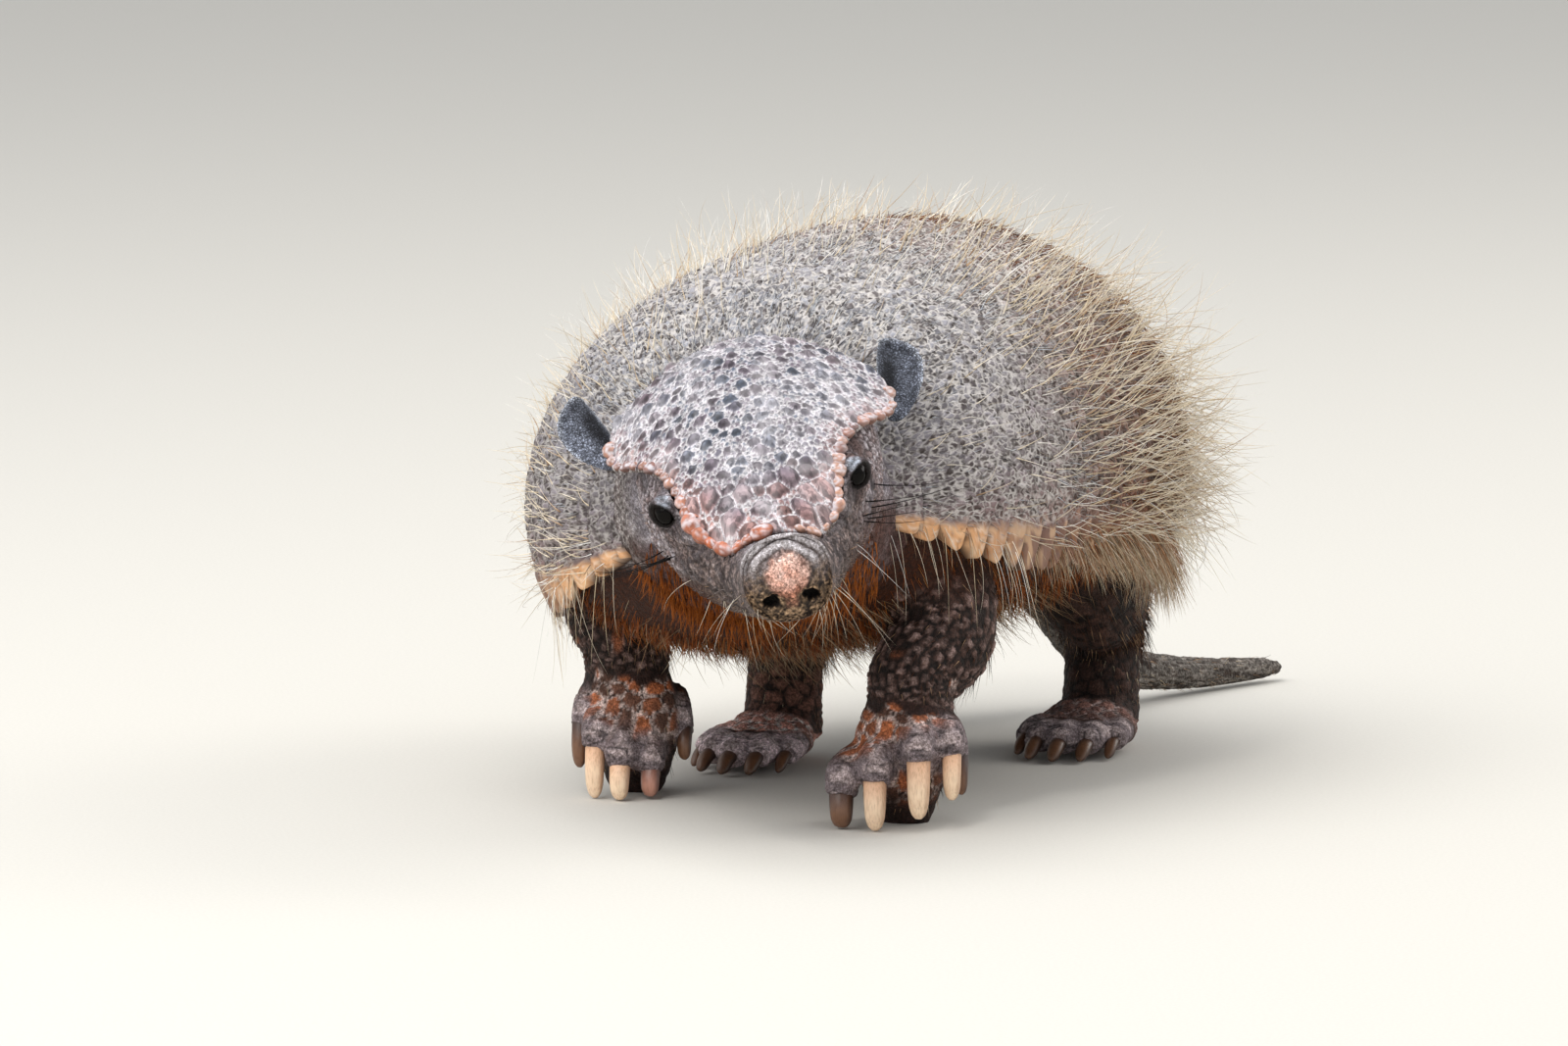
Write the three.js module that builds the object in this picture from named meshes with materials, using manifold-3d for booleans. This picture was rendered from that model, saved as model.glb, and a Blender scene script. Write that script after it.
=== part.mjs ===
// A large hairy armadillo as a still, life-size model: mid-step, body bent to its left, head lowered and
// turned the same way. Millimetres, +Z up, the animal faces -Y, and its left side is +X.
// The trunk is a run of half-oval sections along a bent axis; the shell plates are bands of that same
// surface, standing off the flesh. Head, feet and limbs are built round their own axes and then cut where
// they meet, so that every named part is one closed body with a thin clearance to the next.
import * as THREE from "three";
import { mergeVertices } from "three/addons/utils/BufferGeometryUtils.js";
import Module from "manifold-3d";

const wasm = await Module();
wasm.setup();

const GAP = 0.35; // clearance between neighbouring parts
const FINEST = 0.12; // slivers that a cut leaves are closed up to this size
const { degToRad, lerp, smoothstep } = THREE.MathUtils;

// ---------------------------------------------------------------- driving dimensions

// Trunk sections. t is 0 at the collar and 1 at the rim over the tail; each list is [t, value].
const TRUNK = {
  axisX: profile([0, 13], [0.2, 6], [0.5, 0], [0.8, 1], [1, 3]),
  axisY: profile([0, -88], [0.25, -42], [0.5, 15], [0.75, 70], [1, 104]),
  axisZ: profile([0, 92], [0.25, 92], [0.5, 92], [0.75, 87], [1, 67]),
  yaw: profile([0, 17], [0.25, 11], [0.5, 2], [0.75, -1], [1, -2]), // degrees, towards the left
  roll: profile([0, 8], [0.5, 6], [1, 3]), // degrees, left side up
  tilt: profile([0, 10], [0.3, 0], [0.55, 2], [0.75, 20], [1, 84]), // degrees, top leaning back
  halfWidth: profile([0, 40], [0.1, 65], [0.25, 82], [0.5, 88], [0.75, 85], [0.9, 74], [1, 60]),
  rise: profile([0, 42], [0.1, 58], [0.25, 71], [0.5, 77], [0.75, 80], [0.9, 66], [1, 52]),
  drop: profile([0, 6], [0.12, 19], [0.25, 25], [0.75, 25], [1, 12]), // margin below the axis
  belly: profile([0, 36], [0.25, 49], [0.6, 51], [0.75, 46], [1, 30]), // flesh below the axis
  frontBulge: 4,
  rearBulge: 16,
};
const MARGIN_ANGLE = 112; // degrees from the midline of the back to the plain shell margin
const MARGIN_TUCK = 0.22; // how far the margin draws in under the flank, as a share of its drop

const SHELL = {
  nuchalEnd: 0.042,
  thickness: 2.8,
  flesh: 4.4, // depth from the outer surface down to the flesh
  scapularEnd: 0.26,
  bandEnd: 0.6,
  bands: 7,
  lapUp: 1.2, // the rear edge of each band stands proud
  lapDown: 0.9, // and its front edge lies low, behind the one before
  coat: profile([0, 0.5], [0.2, 2], [0.45, 5], [0.7, 7], [1, 6]), // depth of the hair over the scutes
  seam: 0.5 / 300, // gap between plates, as a share of the trunk's length
  toothAngle: 3.6, // degrees by which each marginal scute juts out
};

// The head's own frame has its origin midway between the ear roots and the nose towards -Y.
const HEAD = {
  place: new THREE.Vector3(21.5, -101, 118.5), // of that origin, in the animal's frame
  yaw: 29.5,
  pitch: 7,
  roll: -11.5,
  // Sections from the nose, 0, to the nape, 1: how far ahead of the origin, half width, crest and keel.
  ahead: profile(
    [0, 90], [0.06, 89], [0.13, 84], [0.25, 71], [0.38, 57], [0.5, 40], [0.7, 13], [0.86, -3], [1, -12],
  ),
  halfWidth: profile(
    [0, 0], [0.06, 11.5], [0.13, 13.4], [0.25, 15.2], [0.38, 21],
    [0.5, 28], [0.7, 36], [0.86, 35], [0.95, 24], [1, 0],
  ),
  crest: profile(
    [0, -21], [0.06, -9.5], [0.13, -8], [0.25, -11], [0.38, -7],
    [0.5, 4], [0.7, 20], [0.86, 22], [0.95, 14], [1, -6],
  ),
  keel: profile(
    [0, -21], [0.06, -31.5], [0.13, -34], [0.25, -37], [0.5, -41.5],
    [0.7, -43], [0.86, -38], [0.95, -28], [1, -6],
  ),
  squareness: 2.3,
};
const HEAD_SHIELD = {
  rear: 18,
  front: -66,
  rearBow: 8, // the rear corners lie this far forward of its middle
  frontBow: 4,
  thickness: 3,
  // v is 0 at the rear and 1 at the front.
  halfWidth: profile(
    [0, 30], [0.08, 38.5], [0.2, 43], [0.3, 41.5], [0.45, 34],
    [0.6, 27.5], [0.73, 24.8], [0.85, 22.3], [0.92, 20], [1, 13.5],
  ),
  crown: profile([0, 25.5], [0.22, 24], [0.46, 17], [0.71, 6], [0.89, -5], [1, -11]),
  sag: profile([0, 9], [0.25, 20], [0.5, 11], [0.73, 5.5], [1, 5.5]), // fall from the midline to the side
};
const EYE = { radius: 5, x: 28.6, y: -40, z: -5 };
const EAR = { height: 27, width: 15.5, fullness: 0.35, thickness: 1.9, cup: 3.4, bow: 1.5 };
const EARS = {
  left: { root: [41, 2, -2.5], back: 38, outward: 20, twist: 16 },
  right: { root: [-40.5, 2, 0], back: 36, outward: 40, twist: 18 },
};

// Feet stand on the floor; each one's frame has its origin under the wrist or ankle, toes towards -Y.
const FORE_FEET = {
  left: { side: 1, at: [54, -67], yaw: 25 },
  right: { side: -1, at: [-47, -44], yaw: 20 },
};
const HIND_FEET = {
  left: { side: 1, at: [41, 112], yaw: 4 },
  right: { side: -1, at: [-38, 44], yaw: 2 },
};

// Solid limbs: a path with the half sizes across and deep along it. A palm, sole or ankle is in its foot's
// frame; a leg starts at its joint, bows outwards and ends at the wrist or ankle point of its foot.
const PALM = {
  path: [[0, 5, 36], [0, 1, 20], [0, 6, -2]],
  across: profile([0, 13.5], [0.45, 16.5], [1, 9]),
  deep: profile([0, 12.5], [0.5, 11.5], [1, 7]),
};
const SOLE = {
  path: [[0, 10, 9], [0, -8, 9], [0, -24, 6]],
  across: profile([0, 9], [0.5, 14], [1, 12.5]),
  deep: profile([0, 8], [0.4, 11], [1, 8]),
};
const ANKLE = {
  path: [[0, 4, 32], [0, 2, 18], [0, 1, 8]],
  across: profile([0, 12], [1, 12.5]),
  deep: profile([0, 12.5], [1, 13]),
};
const FORELEG = {
  joint: { x: 44, y: -38, z: 78, bow: 7, bend: 2 },
  wrist: [0, 5, 36],
  across: profile([0, 24], [0.45, 16.5], [1, 13]),
  deep: profile([0, 26], [0.45, 17.5], [1, 12.5]),
};
const HINDLEG = {
  joint: { x: 42, y: 70, z: 84, bow: 6, bend: 0 },
  wrist: [0, 4, 32],
  across: profile([0, 26], [0.5, 16.5], [1, 12]),
  deep: profile([0, 32], [0.5, 19], [1, 12.5]),
};
const NECK = {
  start: 0.06, // along the trunk
  nape: [0, -6, -9], // in the head's frame
  across: profile([0, 45], [0.6, 41], [1, 35]),
  deep: profile([0, 36], [1, 29]),
};

// Digits 1 to 5 run from the inner side out: across and ahead of the foot's origin, height of the claw's
// root, its radius, and the height of its tip. The two forefeet press on the ground differently.
const FORE_DIGITS = {
  left: [
    { x: -19, y: -6, root: 9, radius: 3.2, tip: 0.5 },
    { x: -8.5, y: -11, root: 15, radius: 3.1, tip: 0.4 },
    { x: 6, y: -12, root: 19, radius: 3.1, tip: 2.5 },
    { x: 17.5, y: -8, root: 19, radius: 2.4, tip: 7 },
    { x: 21, y: 2, root: 18, radius: 2, tip: 8 },
  ],
  right: [
    { x: -16, y: 2, root: 18, radius: 2.1, tip: 12 },
    { x: -6, y: -10, root: 9, radius: 2.8, tip: 3 },
    { x: 4, y: -13, root: 11, radius: 2.8, tip: 0.4 },
    { x: 10, y: -9, root: 16, radius: 2.8, tip: 0.4 },
    { x: 16, y: -1, root: 20, radius: 2.3, tip: 8 },
  ],
};
const HIND_DIGITS = [
  { x: -11.5, y: -19, radius: 2.2 },
  { x: -6.5, y: -27, radius: 2.7 },
  { x: 0, y: -29, radius: 2.8 },
  { x: 6.5, y: -26, radius: 2.6 },
  { x: 11.5, y: -18, radius: 2.2 },
];
const TAIL = {
  points: [[3, 112, 63], [5, 148, 45], [10, 184, 17], [20, 226, 7.5], [36, 274, 4.4]],
  radius: profile([0, 11.5], [0.25, 9.5], [0.6, 6.8], [0.95, 3.6], [1, 2]),
  split: 0.5,
};

const COLOURS = {
  skin: "#6d625f",
  belly: "#8a5a34",
  leg: "#3c2e2a",
  shield: "#8c8178",
  headShield: "#9d8f8b",
  ear: "#55565b",
  eye: "#0b0908",
  claw: "#cfb48d",
  darkClaw: "#4d3a2e",
};

// ---------------------------------------------------------------- helpers

// A smooth curve through a few [position, value] stops.
function profile(...stops) {
  const slope = stops.map((_, i) => {
    const [a, b] = [stops[Math.max(i - 1, 0)], stops[Math.min(i + 1, stops.length - 1)]];
    return (b[1] - a[1]) / (b[0] - a[0]);
  });
  return (at) => {
    if (at <= stops[0][0]) return stops[0][1];
    const i = stops.findIndex((stop) => stop[0] >= at) - 1;
    if (i < 0) return stops.at(-1)[1];
    const [[x0, v0], [x1, v1]] = [stops[i], stops[i + 1]];
    const span = x1 - x0;
    const q = (at - x0) / span;
    return (
      v0 * (1 + 2 * q) * (1 - q) ** 2 +
      slope[i] * span * q * (1 - q) ** 2 +
      v1 * q * q * (3 - 2 * q) +
      slope[i + 1] * span * q * q * (q - 1)
    );
  };
}

// A closed three.js geometry with each vertex moved by place(x, y, z), its faces turned to point out.
function shaped(geometry, place) {
  geometry.deleteAttribute("normal");
  geometry.deleteAttribute("uv");
  const closed = mergeVertices(geometry, 1e-5);
  const position = closed.getAttribute("position");
  for (let i = 0; i < position.count; i++) {
    const p = place(position.getX(i), position.getY(i), position.getZ(i));
    position.setXYZ(i, p.x, p.y, p.z);
  }
  if (signedVolume(closed) < 0) flip(closed);
  return closed;
}

function signedVolume(geometry) {
  const position = geometry.getAttribute("position");
  const corner = [0, 1, 2].map(() => new THREE.Vector3());
  let volume = 0;
  for (let i = 0; i < geometry.index.count; i += 3) {
    corner.forEach((c, k) => c.fromBufferAttribute(position, geometry.index.getX(i + k)));
    volume += corner[0].dot(corner[1].cross(corner[2])) / 6;
  }
  return volume;
}

function flip(geometry) {
  const index = geometry.index;
  for (let i = 0; i < index.count; i += 3) {
    const second = index.getX(i + 1);
    index.setX(i + 1, index.getX(i + 2));
    index.setX(i + 2, second);
  }
}

function curveThrough(points) {
  const stops = points.map((p) => new THREE.Vector3(...p));
  return new THREE.CatmullRomCurve3(stops, false, "centripetal");
}

// A round-sectioned body along a curve through the given points. across and deep are its half sizes by
// share of the length; across is measured along whatever of +X is square to the curve.
function limb(points, across, deep, around, along) {
  const curve = curveThrough(points);
  return shaped(new THREE.CylinderGeometry(1, 1, 1, around, along), (x, y, z) => {
    const t = 0.5 - y;
    const forward = curve.getTangent(t);
    const side = new THREE.Vector3(1, 0, 0).projectOnPlane(forward).normalize();
    const front = new THREE.Vector3().crossVectors(forward, side);
    return curve.getPoint(t).addScaledVector(side, x * across(t)).addScaledVector(front, z * deep(t));
  });
}

function meshOf(name, geometry, colour, roughness = 0.75) {
  const material = new THREE.MeshStandardMaterial({ color: colour, roughness, metalness: 0 });
  const mesh = new THREE.Mesh(geometry, material);
  mesh.name = name;
  return mesh;
}

// The geometry as a solid, grown outwards so that each face stands off by at least the clearance.
function solid(geometry, grown = 0) {
  const points = new Float32Array(geometry.getAttribute("position").array);
  const index = geometry.index.array;
  if (grown) {
    const faces = faceNormals(points, index);
    const outward = points.map(() => 0);
    index.forEach((v, i) => faces[Math.floor(i / 3)].toArray().forEach((n, k) => (outward[3 * v + k] += n)));
    const least = new Float32Array(points.length / 3).fill(1);
    const direction = (v) => new THREE.Vector3().fromArray(outward, 3 * v).normalize();
    index.forEach((v, i) => (least[v] = Math.min(least[v], direction(v).dot(faces[Math.floor(i / 3)]))));
    least.forEach((cosine, v) => {
      const step = direction(v).multiplyScalar(grown / Math.max(cosine, 0.4));
      step.toArray().forEach((d, k) => (points[3 * v + k] += d));
    });
  }
  const mesh = new wasm.Mesh({ numProp: 3, vertProperties: points, triVerts: new Uint32Array(index) });
  return new wasm.Manifold(mesh);
}

function faceNormals(points, index) {
  const corner = (i) => new THREE.Vector3().fromArray(points, 3 * index[i]);
  return Array.from({ length: index.length / 3 }, (_, f) => {
    const [a, b, c] = [corner(3 * f), corner(3 * f + 1), corner(3 * f + 2)];
    return b.sub(a).cross(c.sub(a)).normalize();
  });
}

function geometryOf(body) {
  const made = body.getMesh();
  const points = new Float32Array(made.numVert * 3);
  for (let i = 0; i < made.numVert; i++) {
    points.set(made.vertProperties.subarray(i * made.numProp, i * made.numProp + 3), i * 3);
  }
  return new THREE.BufferGeometry()
    .setAttribute("position", new THREE.BufferAttribute(points, 3))
    .setIndex(new THREE.BufferAttribute(new Uint32Array(made.triVerts), 1));
}

const largest = (body) => body.decompose().sort((a, b) => b.volume() - a.volume())[0];
const inWorld = (mesh) => mesh.geometry.clone().applyMatrix4(mesh.matrixWorld);

// Cuts a mesh back, with a clearance, from the meshes that it meets.
function carve(mesh, ...cutters) {
  const cut = cutters.reduce((rest, other) => {
    const shape = inWorld(other);
    return rest.subtract(solid(shape, GAP).add(solid(shape)));
  }, solid(inWorld(mesh)));
  mesh.geometry = geometryOf(largest(cut.simplify(FINEST))).applyMatrix4(mesh.matrixWorld.clone().invert());
}

const ABOVE_FLOOR = new THREE.BoxGeometry(200, 200, 100).translate(0, 0, 50);
ABOVE_FLOOR.deleteAttribute("normal");
ABOVE_FLOOR.deleteAttribute("uv");
const aboveFloor = solid(mergeVertices(ABOVE_FLOOR));

// ---------------------------------------------------------------- trunk and shell

// Places a point of a trunk section: across and up are measured in the leaning plane of the section.
function sectionPoint(t, across, up) {
  const tilt = degToRad(TRUNK.tilt(t));
  const point = new THREE.Vector3(across, up * Math.sin(tilt), up * Math.cos(tilt));
  point.applyEuler(new THREE.Euler(0, degToRad(-TRUNK.roll(t)), degToRad(TRUNK.yaw(t)), "ZYX"));
  return point.add(new THREE.Vector3(TRUNK.axisX(t), TRUNK.axisY(t), TRUNK.axisZ(t)));
}

// A point of the shell's surface: phi in degrees from the midline of the back, out the distance off it.
function shellPoint(t, phi, out) {
  const angle = degToRad(Math.abs(phi));
  const wide = TRUNK.halfWidth(t) + out;
  const side = Math.sign(phi);
  if (Math.abs(phi) <= 90) {
    return sectionPoint(t, side * wide * Math.sin(angle), (TRUNK.rise(t) + out) * Math.cos(angle));
  }
  const below = (Math.abs(phi) - 90) / (MARGIN_ANGLE - 90);
  const tuck = MARGIN_TUCK * TRUNK.drop(t) * below * below;
  return sectionPoint(t, side * (wide - tuck), -TRUNK.drop(t) * below);
}

function fleshPoint(t, phi, shrink) {
  const angle = degToRad(phi);
  const wide = (TRUNK.halfWidth(t) - SHELL.flesh) * shrink;
  const up = Math.cos(angle) > 0 ? TRUNK.rise(t) - SHELL.flesh : TRUNK.belly(t);
  return sectionPoint(t, wide * Math.sin(angle), up * shrink * Math.cos(angle));
}

// The trunk's flesh is a ball drawn out along the sections, with a bulge beyond the first and the last.
function trunkGeometry() {
  const capShare = 0.22;
  return shaped(new THREE.SphereGeometry(1, 18, 14), (x, y, z) => {
    const along = Math.acos(THREE.MathUtils.clamp(-y, -1, 1)) / Math.PI;
    const phi = THREE.MathUtils.radToDeg(Math.atan2(x, z));
    const toEnd = Math.min(along, 1 - along) / capShare;
    const t = THREE.MathUtils.clamp((along - capShare) / (1 - 2 * capShare), 0, 1);
    if (toEnd >= 1) return fleshPoint(t, phi, 1);
    const point = fleshPoint(t, phi, Math.sqrt(1 - (1 - toEnd) ** 2));
    const bulge = along < 0.5 ? -TRUNK.frontBulge : TRUNK.rearBulge;
    const tilt = degToRad(TRUNK.tilt(t));
    const outward = new THREE.Vector3(0, Math.cos(tilt), -Math.sin(tilt));
    outward.applyAxisAngle(new THREE.Vector3(0, 0, 1), degToRad(TRUNK.yaw(t)));
    return point.addScaledVector(outward, bulge * (1 - toEnd));
  });
}

// One shell plate from t0 to t1. Its margin is a saw of marginal scutes that point backwards.
function plateGeometry(t0, t1, rows, front, rear, around) {
  return shaped(new THREE.BoxGeometry(2, 1, 1, around, rows, 1), (u, v, w) => {
    const q = v + 0.5;
    const t = lerp(t0, t1, q);
    const reach = MARGIN_ANGLE + (Math.round(q * rows) % 2 ? SHELL.toothAngle : 0);
    return shellPoint(t, u * reach, w > 0 ? lerp(front, rear, q) + SHELL.coat(t) : -SHELL.thickness);
  });
}

function shellMeshes() {
  const { nuchalEnd, scapularEnd, bandEnd, bands, seam, lapUp, lapDown } = SHELL;
  const scapular = plateGeometry(nuchalEnd, scapularEnd - seam, 9, -lapDown, lapUp, 16);
  const meshes = [
    meshOf("nuchal_band", plateGeometry(0, nuchalEnd - seam, 1, 0, lapUp, 16), COLOURS.shield),
    meshOf("scapular_shield", scapular, COLOURS.shield),
  ];
  const bandLength = (bandEnd - scapularEnd) / bands;
  for (let i = 0; i < bands; i++) {
    const start = scapularEnd + i * bandLength;
    const band = plateGeometry(start, start + bandLength - seam, 1, -lapDown, lapUp, 16);
    meshes.push(meshOf(`shell_band_${i + 1}`, band, COLOURS.shield));
  }
  meshes.push(meshOf("pelvic_shield", plateGeometry(bandEnd, 1, 10, -lapDown, 0, 16), COLOURS.shield));
  return meshes;
}

// ---------------------------------------------------------------- head

function headGeometry() {
  return shaped(new THREE.SphereGeometry(1, 20, 15), (x, y, z) => {
    const t = Math.acos(THREE.MathUtils.clamp(-y, -1, 1)) / Math.PI;
    const angle = Math.atan2(z, x);
    const soft = (value) => Math.sign(value) * Math.abs(value) ** (2 / HEAD.squareness);
    const [high, low] = [HEAD.crest(t), HEAD.keel(t)];
    return new THREE.Vector3(
      HEAD.halfWidth(t) * soft(Math.cos(angle)),
      -HEAD.ahead(t),
      (high + low) / 2 + ((high - low) / 2) * soft(Math.sin(angle)),
    );
  });
}

// u runs from -1 to 1 across the shield, v from 0 at its rear to 1 at its front.
function headShieldPoint(u, v, under) {
  const bow = (1 - v) ** 2 * -HEAD_SHIELD.rearBow * u * u + v ** 3 * HEAD_SHIELD.frontBow * (u * u - 1);
  return new THREE.Vector3(
    u * HEAD_SHIELD.halfWidth(v),
    lerp(HEAD_SHIELD.rear, HEAD_SHIELD.front, v) + bow,
    HEAD_SHIELD.crown(v) - HEAD_SHIELD.sag(v) * u * u - under,
  );
}

function headShieldGeometry() {
  return shaped(new THREE.BoxGeometry(2, 1, 1, 8, 9, 1), (u, v, w) =>
    headShieldPoint(u, v + 0.5, w > 0 ? 0 : HEAD_SHIELD.thickness),
  );
}

// A cupped oval leaf standing on its root, hollow side towards -Y.
function earGeometry() {
  return shaped(new THREE.SphereGeometry(1, 12, 7), (x, y, z) => {
    const up = (z + 1) / 2;
    const wide = (EAR.width / 2) * (0.62 + 0.38 * smoothstep(up, 0, 0.6)) * (1 + EAR.fullness * z * z);
    return new THREE.Vector3(x * wide, y * EAR.thickness - EAR.cup * x * x + EAR.bow * up, up * EAR.height);
  });
}

function ear(name, side) {
  const { root: [x, y, z], back, outward, twist } = EARS[name];
  const mesh = meshOf(`ear_${name}`, earGeometry(), COLOURS.ear);
  mesh.position.set(x, y, z);
  mesh.rotation.set(degToRad(-back), degToRad(side * outward), degToRad(side * twist), "YXZ");
  return mesh;
}

function eye(name, side) {
  const ball = shaped(new THREE.SphereGeometry(EYE.radius, 10, 7), (x, y, z) => new THREE.Vector3(x, y, z));
  const mesh = meshOf(`eye_${name}`, ball, COLOURS.eye, 0.1);
  mesh.position.set(side * EYE.x, EYE.y, EYE.z);
  return mesh;
}

function headGroup() {
  const group = new THREE.Group();
  group.rotation.set(degToRad(HEAD.pitch), degToRad(HEAD.roll), degToRad(HEAD.yaw), "ZXY");
  group.position.copy(HEAD.place);
  group.add(meshOf("head", headGeometry(), COLOURS.skin));
  group.add(meshOf("head_shield", headShieldGeometry(), COLOURS.headShield));
  group.add(ear("left", 1), ear("right", -1), eye("left", 1), eye("right", -1));
  return group;
}

// ---------------------------------------------------------------- feet, legs and tail

function foreFoot(name, { side, at, yaw }) {
  const group = new THREE.Group();
  group.position.set(at[0], at[1], 0);
  group.rotation.z = degToRad(yaw);
  let foot = solid(limb(PALM.path, PALM.across, PALM.deep, 12, 4));
  FORE_DIGITS[name].forEach((digit, i) => {
    const { y, root, radius, tip } = digit;
    const x = side * digit.x;
    const toe = limb(
      [[x * 0.7, y + 10, root + 10], [x * 0.95, y + 1, root + 6.5], [x, y - 0.5, root - 0.5]],
      profile([0, 5], [0.5, radius + 2.2], [1, radius + 1]),
      profile([0, 5], [0.5, radius + 2], [1, radius + 1]),
      6,
      2,
    );
    foot = foot.add(solid(toe));
    const claw = limb(
      [[x, y - 0.6, root - 0.2], [x, y - 3, lerp(root, tip, 0.5)], [x, y - 2, tip]],
      profile([0, radius], [0.7, radius * 0.82], [1, radius * 0.45]),
      profile([0, radius], [0.7, radius * 0.8], [1, radius * 0.4]),
      6,
      2,
    );
    const outer = i === 0 || i === 4;
    group.add(meshOf(`claw_${name}_${i + 1}`, claw, outer ? COLOURS.darkClaw : COLOURS.claw, 0.4));
  });
  group.add(meshOf(`forefoot_${name}`, geometryOf(foot.intersect(aboveFloor)), COLOURS.leg));
  return group;
}

function hindFoot(name, { side, at, yaw }) {
  const group = new THREE.Group();
  group.position.set(at[0], at[1], 0);
  group.rotation.z = degToRad(yaw);
  const sole = limb(SOLE.path, SOLE.across, SOLE.deep, 10, 4);
  const ankle = limb(ANKLE.path, ANKLE.across, ANKLE.deep, 12, 2);
  let foot = solid(sole).add(solid(ankle));
  HIND_DIGITS.forEach(({ x: across, y, radius }, i) => {
    const x = side * across;
    const toe = limb(
      [[x * 0.8, y + 8, 7], [x, y - 2, 7.5], [x * 1.06, y - 9, 5.5]],
      profile([0, 5], [0.6, radius + 2.4], [1, radius + 1]),
      profile([0, 5], [0.6, radius + 2.2], [1, radius + 1]),
      6,
      2,
    );
    foot = foot.add(solid(toe));
    const claw = limb(
      [[x * 1.06, y - 9, 5.2], [x * 1.1, y - 14, 4.2], [x * 1.12, y - 18.5, 0.9]],
      profile([0, radius], [1, radius * 0.5]),
      profile([0, radius * 0.85], [1, 0.6]),
      6,
      2,
    );
    group.add(meshOf(`claw_hind_${name}_${i + 1}`, claw, COLOURS.darkClaw, 0.4));
  });
  group.add(meshOf(`hindfoot_${name}`, geometryOf(foot.intersect(aboveFloor)), COLOURS.leg));
  return group;
}

// A leg from inside the trunk down to its foot, ending one clearance above it.
function leg(name, { side, at, yaw }, { joint, wrist, across, deep }) {
  const foot = new THREE.Vector3(...wrist).applyAxisAngle(new THREE.Vector3(0, 0, 1), degToRad(yaw));
  foot.add(new THREE.Vector3(at[0], at[1], GAP));
  const path = [
    [side * joint.x, joint.y, joint.z],
    [
      lerp(side * joint.x, foot.x, 0.5) + side * joint.bow,
      lerp(joint.y, foot.y, 0.5) + joint.bend,
      lerp(joint.z, foot.z, 0.55),
    ],
    [foot.x, foot.y + 0.5, foot.z + 8],
    foot.toArray(),
  ];
  return meshOf(name, limb(path, across, deep, 10, 5), COLOURS.leg);
}

function tailMesh(name, from, to) {
  const curve = curveThrough(TAIL.points);
  const points = [0, 1, 2, 3, 4].map((i) => curve.getPoint(lerp(from, to, i / 4)).toArray());
  const radius = (t) => TAIL.radius(lerp(from, to, t));
  return meshOf(name, limb(points, radius, radius, 8, 5), COLOURS.leg);
}

// ---------------------------------------------------------------- assembly

const root = new THREE.Group();
const part = (name) => root.getObjectByName(name);

const shell = shellMeshes();
root.add(meshOf("trunk", trunkGeometry(), COLOURS.belly), ...shell, headGroup());
for (const [name, foot] of Object.entries(FORE_FEET)) {
  root.add(foreFoot(name, foot));
  root.add(leg(`foreleg_${name}`, foot, FORELEG));
}
for (const [name, foot] of Object.entries(HIND_FEET)) {
  root.add(hindFoot(name, foot));
  root.add(leg(`hindleg_${name}`, foot, HINDLEG));
}
root.add(tailMesh("tail_base", 0, TAIL.split), tailMesh("tail_tip", TAIL.split - 0.01, 1));

root.updateMatrixWorld(true);
const collar = sectionPoint(NECK.start, 0, 0);
const nape = part("head").localToWorld(new THREE.Vector3(...NECK.nape));
const neckPath = [0, 0.5, 1].map((share) => new THREE.Vector3().lerpVectors(collar, nape, share).toArray());
root.add(meshOf("neck", limb(neckPath, NECK.across, NECK.deep, 12, 3), COLOURS.skin));

root.updateMatrixWorld(true);
carve(part("trunk"), part("pelvic_shield"), part("head"));
for (const side of ["left", "right"]) carve(part(`eye_${side}`), part("head_shield"));
carve(part("head"), part("eye_left"), part("eye_right"), part("head_shield"));
for (const side of ["left", "right"]) carve(part(`ear_${side}`), part("head"), part("head_shield"));
carve(part("neck"), part("trunk"), part("nuchal_band"), part("scapular_shield"));
carve(part("neck"), part("head"), part("head_shield"), part("ear_left"), part("ear_right"));
for (const side of ["left", "right"]) {
  carve(part(`forefoot_${side}`), part(`foreleg_${side}`));
  carve(part(`hindfoot_${side}`), part(`hindleg_${side}`));
  carve(part(`foreleg_${side}`), part("trunk"), part("neck"), ...shell);
  carve(part(`hindleg_${side}`), part("trunk"), ...shell);
  for (let i = 1; i <= 5; i++) {
    carve(part(`forefoot_${side}`), part(`claw_${side}_${i}`));
    carve(part(`hindfoot_${side}`), part(`claw_hind_${side}_${i}`));
  }
}
carve(part("tail_base"), part("trunk"), part("pelvic_shield"));
carve(part("tail_tip"), part("tail_base"));

// The frame's origin is on the floor, under the middle of the whole animal.
const box = new THREE.Box3().setFromObject(root, true);
root.position.set(-(box.min.x + box.max.x) / 2, -(box.min.y + box.max.y) / 2, -box.min.z);

export default root;
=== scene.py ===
# The looks of a life-size large hairy armadillo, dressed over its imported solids.
# Lengths inside this script are millimetres in the animal's own frame (it faces -Y, its left is +X, the floor
# is z = 0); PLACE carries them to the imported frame, and meshes are written in metres.
import math

import bmesh
import bpy
import numpy as np
from mathutils import Matrix, Vector


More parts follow.
